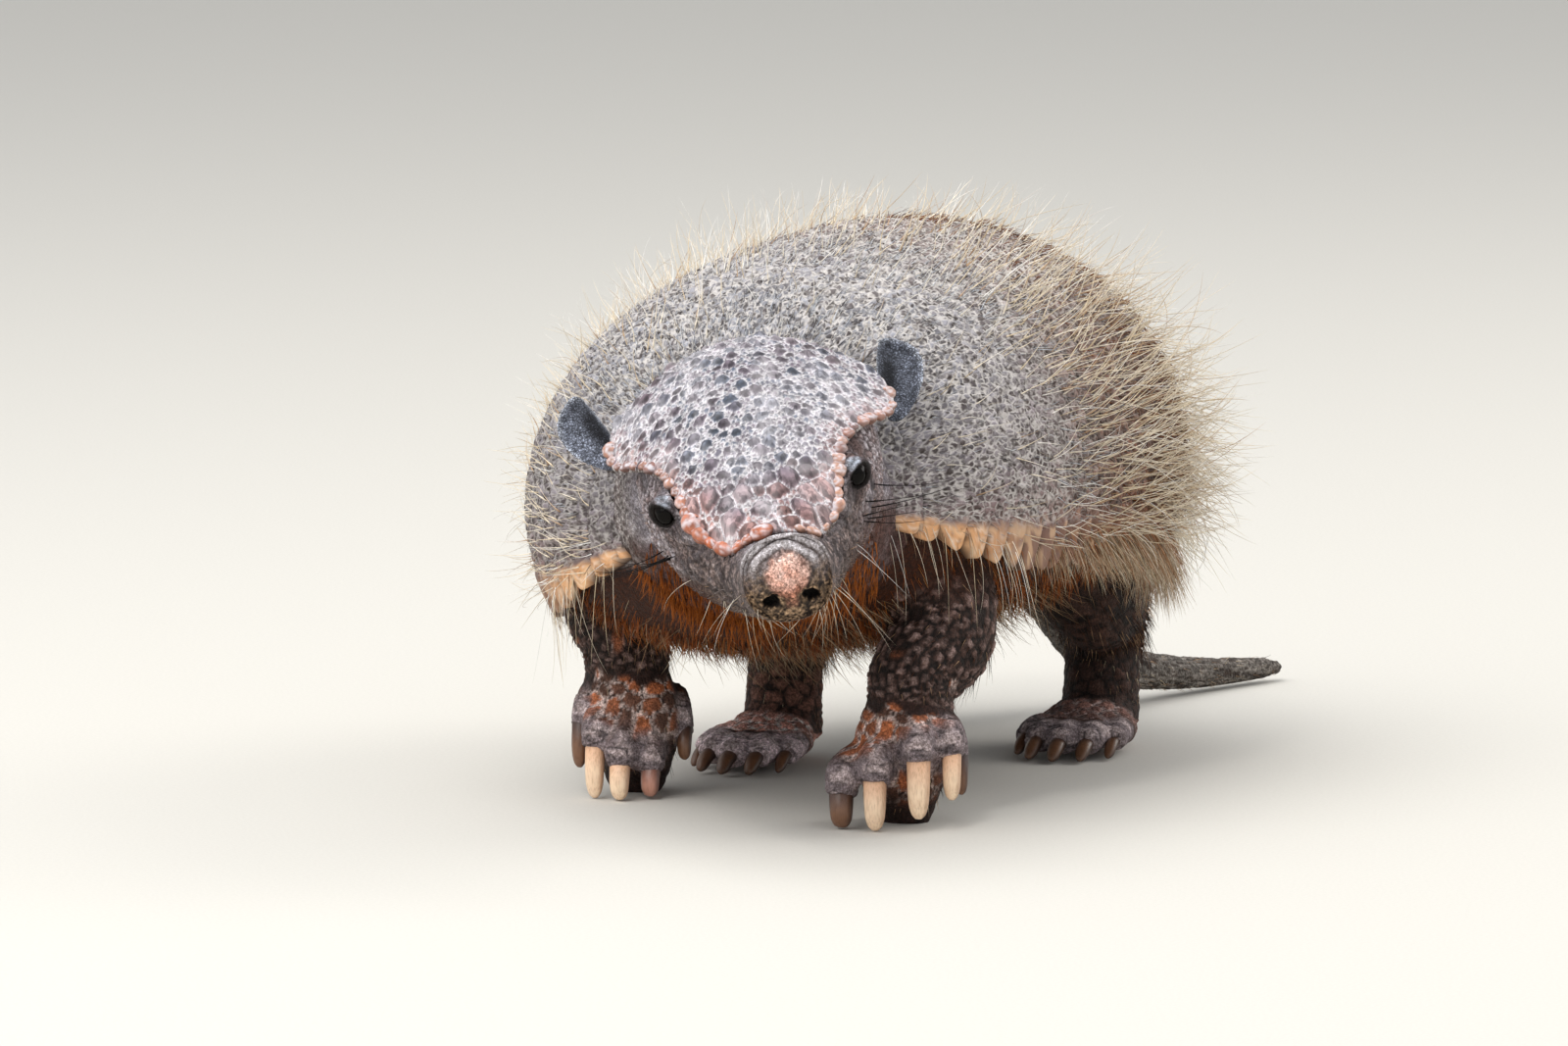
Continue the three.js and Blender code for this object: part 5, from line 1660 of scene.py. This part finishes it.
def back_hair(name, count, weight, length, radius, lift, tint, tip, rings, curl,
              sag=0.12, lift_end=None, rise=0.25):
    """Hair of the back: weight(a, b) thins it out, length and lift go by the place along and round it."""
    a, b = thin_out(count, weight)
    t, phi = 0.012 + 0.975 * a, (b - 0.5) * 2 * (MARGIN_ANGLE - 3)
    p, back, round_it, normal = frame_on(on_back, t, phi, 0.002, 0.3)
    normal = turned_out(normal, p - section_point(t, 0 * t, 0 * t))
    flank = smooth(np.abs(phi), 20, 90)[:, None]
    stray = COAT_SEEDS.normal(0, 0.22, (len(t), 1))
    lie = back + round_it * np.sign(phi)[:, None] * (rise * flank + stray)
    n = len(t)
    unwrap = stack(phi / (2 * MARGIN_ANGLE) + 0.5, 0.02 + 0.96 * t)
    size = length(t, np.abs(phi)) * spread(0.6, 1.25, n)
    tall = lift(t, np.abs(phi)) * spread(0.5, 1.5, n)
    end = None if lift_end is None else lift_end * spread(0.4, 1.4, n)
    coat(name, p, lie, normal, size, radius, tall, tint(n), unwrap, rings, sag, curl, tip(n), end)


def hair_tones(*choices):
    """A function that draws a colour for each of n hairs from these choices."""
    return lambda n: toned(n, *choices)


def shell_edge_frame(t, phi, side):
    """Roots along the shell's edge, the ways back, down and outward from them, and their bake map."""
    p, back, round_it, _ = frame_on(on_back, t, phi, 0.002, 0.3)
    outward = unit(p - section_point(t, 0 * t, 0 * t))
    unwrap = stack(phi / (2 * MARGIN_ANGLE + 4) + 0.5, 0.02 + 0.96 * t)
    return p, back, round_it * side[:, None], outward, unwrap


def shell_coat():
    pale = hair_tones((3, WHITE), (3, CREAM), (2, STRAW))
    straw = hair_tones((4, CREAM), (2, WHITE), (1.4, STRAW), (0.5, FAWN))
    rooted = hair_tones((2, FAWN), (3, STRAW), (2.4, CREAM))
    brown = hair_tones((2.4, RUSTY * 0.6), (1.4, FAWN * 0.7), (2, UMBER), (0.4, STRAW))
    dark, ashen = linear(66, 62, 66), linear(124, 112, 108)
    peppered = hair_tones((3, SILVER), (1.4, WHITE), (0.7, CREAM), (2.2, dark), (0.7, ashen))

    # Short hair pressed flat over the shoulders and the middle of the back.
    def upper(a, b):
        return fade(a, 0.3, 0.62) * (1 - 0.8 * smooth(np.abs(b - 0.5) * 2, 0.3, 0.6))

    back_hair("coat_shoulder", 4200, upper, lambda t, s: 4.5 + 6 * smooth(t, 0.02, 0.4),
              0.12, lambda t, s: 9 + 5 * smooth(t, 0, 0.3), peppered, peppered, 4, 0.1)

    # Short brown hair under the long, and long pale bristles that bend upwards, thickest on the rear flanks.
    def rear(a, b):
        return half(b) * smooth(a, 0.35, 0.75)

    def flank(a, b):
        low_down = 0.3 + 0.7 * smooth(np.abs(b - 0.5) * 2, 0.1, 0.6)
        return half(b) * (ahead + (1 - ahead) * smooth(a, 0.18, 0.75)) * low_down

    def bristle_length(t, s):
        return 13 + 25 * smooth(t, 0.15, 0.65) * (0.6 + 0.4 * smooth(s, 20, 70))

    for name, low, ahead in (("right", 0.0, 0.3), ("left", 0.5, 0.04)):
        def half(b, low=low):
            return (b >= low) & (b < low + 0.5)

        back_hair("coat_under_" + name, 2200, rear, lambda t, s: 5 + 7 * smooth(t, 0.3, 0.8),
                  0.16, lambda t, s: 16 + 0 * t, brown, brown, 4, 0.3)
        back_hair("coat_flank_" + name, 1250, flank, bristle_length,
                  0.25, lambda t, s: 14 + 10 * smooth(t, 0.2, 0.7), rooted, straw, 8, 0.5, -0.28, 30, -0.22)

    # Sparse hairs that stand clear of the outline.
    def clear(a, b):
        return (0.3 + 0.7 * smooth(a, 0.0, 0.6)) * (1 + 1.2 * (b < 0.5) * (a < 0.6)) / 2.2

    back_hair("coat_standing", 1200, clear, lambda t, s: 11 + 12 * smooth(t, 0.05, 0.6),
              0.19, lambda t, s: 60 + 0 * t, straw, pale, 7, 0.55, -0.05, 62)
    # The edge of the shell, where hair hangs below the marginal scutes.
    a, b = thin_out(3000, lambda a, b: 0.06 + 0.94 * smooth(a, 0.12, 0.5))
    side = np.where(b < 0.5, -1.0, 1.0)
    t, phi = 0.02 + 0.96 * a, side * (MARGIN_ANGLE - 1 - 7 * np.abs(b * 2 % 1))
    p, back, down, outward, unwrap = shell_edge_frame(t, phi, side)
    n = len(t)
    size = (9 + 13 * smooth(t, 0.1, 0.6)) * spread(0.5, 1.3, n)
    lie = down * 0.8 + back * (0.35 + 0.6 * smooth(t, 0.1, 0.5))[:, None]
    coat("coat_margin", p, lie, outward, size, 0.17, spread(4, 26, n),
         toned(n, (2, FAWN * 0.8), (1.5, RUSTY), (1.5, UMBER)), unwrap, 5, 0.25, 0.22,
         toned(n, (2, STRAW), (2, FAWN), (1, CREAM)))
    # A few long pale hairs that trail from the edge beside the throat.
    n = 44
    side = np.where(np.arange(n) % 2, -1.0, 1.0)
    t, phi = spread(0.0, 0.2, n), side * (MARGIN_ANGLE - spread(1, 6, n))
    p, back, down, outward, unwrap = shell_edge_frame(t, phi, side)
    lie = down + back * spread(-0.3, 0.7, (n, 1))
    coat("coat_trailing", p, lie, outward, spread(16, 32, n), 0.14, spread(10, 35, n),
         toned(n, (2, CREAM), (1, WHITE), (1, STRAW)), unwrap, 8, 0.3, 0.25)


def belly_depth(t, phi):
    """How deep the trunk's flesh hangs, less the depth of the hair on it."""
    return BELLY(t) - 5 * np.abs(np.cos(phi))


def on_belly(t, b):
    """The trunk's flesh from one flank, b = 0, under the belly to the other; t runs from chest to groin."""
    phi = np.pi / 2 + b * np.pi
    shrink = 1 - (np.maximum(0.16 - t, 0) / 0.2) ** 2 - (np.maximum(t - 0.88, 0) / 0.2) ** 2
    shrink = np.sqrt(np.clip(shrink, 0.05, 1))
    return section_point(t, flesh_width(t) * shrink * np.sin(phi), belly_depth(t, phi) * shrink * np.cos(phi))


def belly_coat():
    rust = hair_tones((3, RUSTY * 0.8), (2, UMBER * 0.8), (1.4, DARK_HAIR))
    tips = hair_tones((3, RUSTY * 1.1), (0.7, linear(196, 126, 58)), (0.15, STRAW), (1.8, UMBER * 0.8))
    for name, count, low, high in (("chest", 3700, -0.02, 0.3), ("belly", 2900, 0.28, 0.95)):
        a, b = thin_out(count, lambda a, b: 0.35 + 0.65 * smooth(np.abs(b - 0.5), 0.45, 0.2))
        t = low + (high - low) * a
        p, back, _, normal = frame_on(on_belly, t, b, 0.004, 0.01)
        normal = turned_out(normal, p - section_point(t, 0 * t, 0 * t))
        n = len(t)
        lie = back * 0.6 + DOWN + strays(0.2, n)
        size = spread(5, 12, n) + 3 * smooth(t, 0.2, 0.5)
        coat("coat_" + name, p, lie, normal, size, 0.2, spread(12, 44, n), rust(n),
             stack(b, (t + 0.1) / 1.2), 4, 0.35, 0.25, tips(n), slot="underside")


def rusty_hair(name, root, lie, normal, size, unwrap, umber):
    """The short rusty hair of breast and throat."""
    n = len(root)
    tones = toned(n, (3, linear(134, 68, 20)), (2, linear(166, 92, 32)), (umber, UMBER))
    coat(name, root, lie, normal, spread(*size, n), 0.2, spread(8, 34, n), tones, unwrap, 4, 0.25, 0.25,
         toned(n, (2, linear(180, 102, 38)), (1, RUSTY)), slot="underside")


def breast_coat():
    """Hair over the blunt front of the trunk, round the neck, and the long thin fringe below the chest."""
    n = int(3200 * FINE)
    r, phi = spread(0.45, 0.99, n), np.radians(spread(92, 268, n))
    start = np.zeros(n)
    ahead = -section_normal(start)
    p = section_point(start, flesh_width(start) * r * np.sin(phi), belly_depth(start, phi) * r * np.cos(phi))
    p = p + ahead * (FRONT_BULGE * np.sqrt(1 - r * r))[:, None]
    unwrap = stack(phi / (2 * np.pi), 0.1 * r)
    rusty_hair("coat_breast", p, DOWN + strays(0.25, n), ahead, (5, 10), unwrap, 2.2)
    a, b = thin_out(1500, lambda a, b: smooth(np.abs(b - 0.5), 0.3, 0.1) * (0.5 + 0.5 * smooth(a, 0.0, 0.3)))
    t = 0.02 + 0.75 * a
    p, back, _, _ = frame_on(on_belly, t, b, 0.004, 0.01)
    n = len(t)
    lie = back * 0.8 + np.array([0.2, 0, -1.0]) + strays(0.25, n)
    straw = toned(n, (2, FAWN), (2, linear(150, 128, 96)), (1, STRAW))
    coat("coat_fringe", p, lie, np.tile(DOWN, (n, 1)), spread(12, 22, n), 0.15, spread(10, 60, n),
         toned(n, (1, UMBER), (3, FAWN * 0.8)), stack(b, (t + 0.1) / 1.2), 6, 0.3, 0.25, straw,
         slot="underside")


def limb_ring(path, t, angle, across, deep):
    """Points along and round a limb: its middle there, the way forward and the step out to its side."""
    middle, forward = curve(path, t)
    side, front = square_to(forward)
    return middle, forward, side * (across * np.cos(angle))[:, None] + front * (deep * np.sin(angle))[:, None]


def limb_coat(name, limbs, count, size, radius, lift, tints, span, behind=0.0):
    """Hair down some limbs; span is the part of each that bears it, behind the extra length at its back."""
    hairs = []
    for number, limb_name in enumerate(limbs):
        path, across, deep = LIMBS[limb_name]
        n = int(count * FINE)
        t, angle = spread(*span, n), spread(0, 2 * np.pi, n)
        inset = LEG_COAT if "leg" in limb_name else OTHER_COAT
        middle, forward, ring = limb_ring(path, t, angle, across(t) - inset, deep(t) - inset)
        normal = unit(ring)
        back = smooth(normal[:, 1], 0.1, 0.8)
        lie = forward + strays(0.15, n) + np.array([0, 0.35, 0]) * back[:, None]
        length = spread(*size, n) * (1 + behind * back)
        unwrap = stack((number + angle / (2 * np.pi)) / len(limbs), t)
        hairs.append((middle + ring, lie, normal, length, unwrap))
    root, lie, normal, length, unwrap = (np.concatenate(part) for part in zip(*hairs))
    n = len(root)
    coat(name, root, lie, normal, length, radius, spread(0.5, 1.5, n) * lift, toned(n, *tints), unwrap,
         4, 0.15, 0.2, slot="leg")


def throat_coat():
    """Rusty hair over the sides and the underside of the neck, lying back towards the chest."""
    n = int(5200 * FINE)
    t, angle = spread(0.02, 0.9, n), spread(0, 2 * np.pi, n)
    middle, forward, ring = limb_ring(neck_path(), t, angle, NECK_ACROSS(t), NECK_DEEP(t))
    normal = unit(ring)
    keep = normal[:, 2] < spread(-0.65, -0.35, n)
    t, angle, root, normal, forward = (v[keep] for v in (t, angle, middle + ring, normal, forward))
    lie = DOWN - 0.5 * forward + strays(0.2, len(t))
    rusty_hair("coat_throat", root, lie, normal, (4, 9), stack((angle / (2 * np.pi)) % 1, t), 1.8)


def head_hair(name, t, angle, forward, down, size, radius, lift, tint, rings=4, sag=0.1, curl=0.12):
    """Hair on the face: forward and down say how it lies, in the head's frame."""
    p, back, _, normal = frame_on(head_point, t, angle, 0.003, 0.02)
    normal = turned_out(normal, p - stack(0 * t, p[:, 1] + 12, 0 * t - 18))
    lie = -back * forward + DOWN * down
    unwrap = stack((angle / (2 * np.pi)) % 1, t)
    turned = [v @ HEAD_TURN.T for v in (lie, normal)]
    coat(name, from_head(p), *turned, size, radius, lift, tint, unwrap, rings, sag, curl, slot="skin")


def head_coat():
    # Down on the cheeks and jaws, pressed flat.
    a, b = thin_out(1300, lambda a, b: 0.3 + 0.7 * smooth(a, 0.2, 0.6))
    t = 0.1 + 0.66 * a
    angle = np.pi * (1.06 + 0.88 * b) + np.where(b > 0.5, 0.12, -0.12)
    p = head_point(t, angle)
    clear = np.linalg.norm(np.abs(p) * (1, 0, 0) + p * (0, 1, 1) - np.array(EYE_PLACE), axis=1) > 8.5
    t, angle = t[clear], angle[clear]
    n = len(t)
    tones = toned(n, (2, linear(150, 140, 138)), (1.4, linear(84, 72, 70)), (1, DARK_HAIR), (1, FAWN))
    head_hair("coat_face", t, angle, -1.0, 0.25, spread(1.6, 3.4, n), 0.07, spread(8, 24, n), tones)
    # Bristles under the snout and chin.
    n = int(34 * FINE)
    t, angle = spread(0.06, 0.36, n), np.pi * spread(1.12, 1.88, n)
    head_hair("coat_chin", t, angle, 0.15, 1.0, spread(3, 16, n), 0.1, spread(25, 70, n),
              toned(n, (2, STRAW), (1.5, FAWN), (2, CREAM)), 5, 0.2, 0.2)
    # Stiff black bristles in a group on each cheek, and a few long pale whiskers.
    n = 12
    t = np.tile(np.linspace(0.48, 0.6, n // 2), 2) + COAT_SEEDS.normal(0, 0.012, n)
    angle = np.concatenate([spread(-0.3, 0.02, n // 2), np.pi + spread(-0.02, 0.3, n // 2)])
    head_hair("coat_black_bristles", t, angle, -0.5, -0.1, spread(17, 27, n), 0.26, spread(70, 110, n),
              toned(n, (1, linear(12, 9, 9))), 7, 0.15, 0.25)
    n = 14
    t = spread(0.15, 0.5, n)
    angle = np.where(np.arange(n) % 2, spread(-1.1, -0.1, n), np.pi + spread(0.1, 1.1, n))
    head_hair("coat_whiskers", t, angle, -0.2, spread(0, 0.6, (n, 1)), spread(14, 30, n), 0.1,
              spread(25, 75, n), toned(n, (2, CREAM), (1, WHITE)), 7, 0.3, 0.3)


shell_coat()
belly_coat()
throat_coat()
breast_coat()
LEG_TINTS = ((3, DARK_HAIR), (2, UMBER), (1, FAWN))
PAW_TINTS = ((2, DARK_HAIR), (2, FAWN), (1, STRAW))
TAIL_TINTS = ((2, FAWN), (1, DARK_HAIR), (1, STRAW))
FORELEGS, HINDLEGS = ["foreleg_left", "foreleg_right"], ["hindleg_left", "hindleg_right"]
PAWS = [f"{part}_{name}" for part in ("palm", "ankle") for name in SIDES]
limb_coat("coat_forelegs", FORELEGS, 600, (2.5, 5), 0.12, 20, LEG_TINTS, (0.12, 0.97), 1.8)
limb_coat("coat_hindlegs", HINDLEGS, 1500, (4, 9), 0.14, 24, LEG_TINTS, (0.12, 0.97), 0.8)
limb_coat("coat_paws", PAWS, 240, (2.5, 5), 0.11, 16, PAW_TINTS, (0.05, 0.8))
limb_coat("coat_tail", ["tail"], 650, (2.5, 6), 0.11, 14, TAIL_TINTS, (0.1, 0.98))
head_coat()

# ------------------------------------------------------------------ floor, light and camera

CAMERA_AZIMUTH, CAMERA_HEIGHT = 25, 7  # degrees round from the front and up
CAMERA_DISTANCE, LENS = 3.2, 237.6  # metres, and millimetres of focal length
AIM = (3.5, 28.7, 85)  # a point of the body that the picture holds a little right of and above its middle
AIM_RIGHT, AIM_UP = 0.0303, 0.00712  # how far off the middle, in metres


def floor():
    """A plain pale sheet that lies under the animal and turns up far behind it."""
    n = Nodes("floor_paper")
    low, high = (tuple(linear(*tone)) for tone in ((205, 202, 195), (209, 206, 199)))
    material = n.finish(n.blend(n.ramp(n.grain(1.2), 0.3, 0.7), low, high), 0.9, n.bump(n.grain(1.5), 0.05))
    size, wall, bend, height, steps = 16.0, 8.0, 1.4, 3.5, 24  # in metres
    turn_in = np.linspace(0, np.pi / 2, steps)
    y = np.concatenate([[-size], wall + bend * np.sin(turn_in), [wall + bend]])
    z = np.concatenate([[0], bend * (1 - np.cos(turn_in)), [height]])
    line = stack(0 * y, y, z)
    points = np.stack([line + (-size, 0, 0), line + (size, 0, 0)], 1).reshape(-1, 3)
    points = points @ turn("Z", CAMERA_AZIMUTH).T
    make("floor", points / MM - PLACE, grid_faces(len(y), 2)[:, ::-1], None, material)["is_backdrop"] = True


def light(name, direction, distance, size, power, colour):
    """A square lamp in a direction from the animal's middle, facing it."""
    lamp = bpy.data.lights.new(name, "AREA")
    lamp.size, lamp.energy, lamp.color = size, power, colour
    thing = bpy.data.objects.new(name, lamp)
    away = Vector(direction).normalized()
    thing.location = away * distance + Vector((0, 0, 0.08))
    thing.rotation_euler = away.to_track_quat("Z", "Y").to_euler()
    bpy.context.scene.collection.objects.link(thing)


def lights():
    world = bpy.data.worlds.new("soft_room")
    world.use_nodes = True
    world.node_tree.nodes["Background"].inputs["Color"].default_value = (0.95, 0.97, 1.0, 1)
    world.node_tree.nodes["Background"].inputs["Strength"].default_value = 0.75
    bpy.context.scene.world = world
    light("sky", (-0.25, -0.35, 1), 2.2, 2.4, 42, (1, 0.99, 0.97))
    light("front", (-0.35, -1, 0.75), 2.6, 1.6, 12, (1, 0.97, 0.93))
    light("key", (0.1, -0.9, 1.1), 2.5, 0.3, 7, (1, 0.98, 0.95))
    light("rim", (0.9, 0.9, 0.8), 2.4, 1.2, 20, (1, 0.97, 0.92))


def camera():
    a, e = math.radians(CAMERA_AZIMUTH), math.radians(CAMERA_HEIGHT)
    right = Vector((math.cos(a), math.sin(a), 0))
    ahead = Vector((-math.sin(a) * math.cos(e), math.cos(a) * math.cos(e), -math.sin(e)))
    up = right.cross(ahead)
    aim = Vector(tuple((np.array(AIM) + PLACE) * MM)) - right * AIM_RIGHT - up * AIM_UP
    lens = bpy.data.cameras.new("camera")
    lens.lens, lens.sensor_width, lens.clip_end = LENS, 36, 50
    thing = bpy.data.objects.new("camera", lens)
    thing.location = aim - ahead * CAMERA_DISTANCE
    thing.rotation_euler = (-ahead).to_track_quat("Z", "Y").to_euler()
    bpy.context.scene.collection.objects.link(thing)
    bpy.context.scene.camera = thing
    bpy.context.scene.view_settings.view_transform = "Standard"


floor()
lights()
camera()
boxes = {"cad": CAD_BOX, "visual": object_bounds()}
{k: [[float(c) for c in corner] for corner in box] for k, box in boxes.items()}
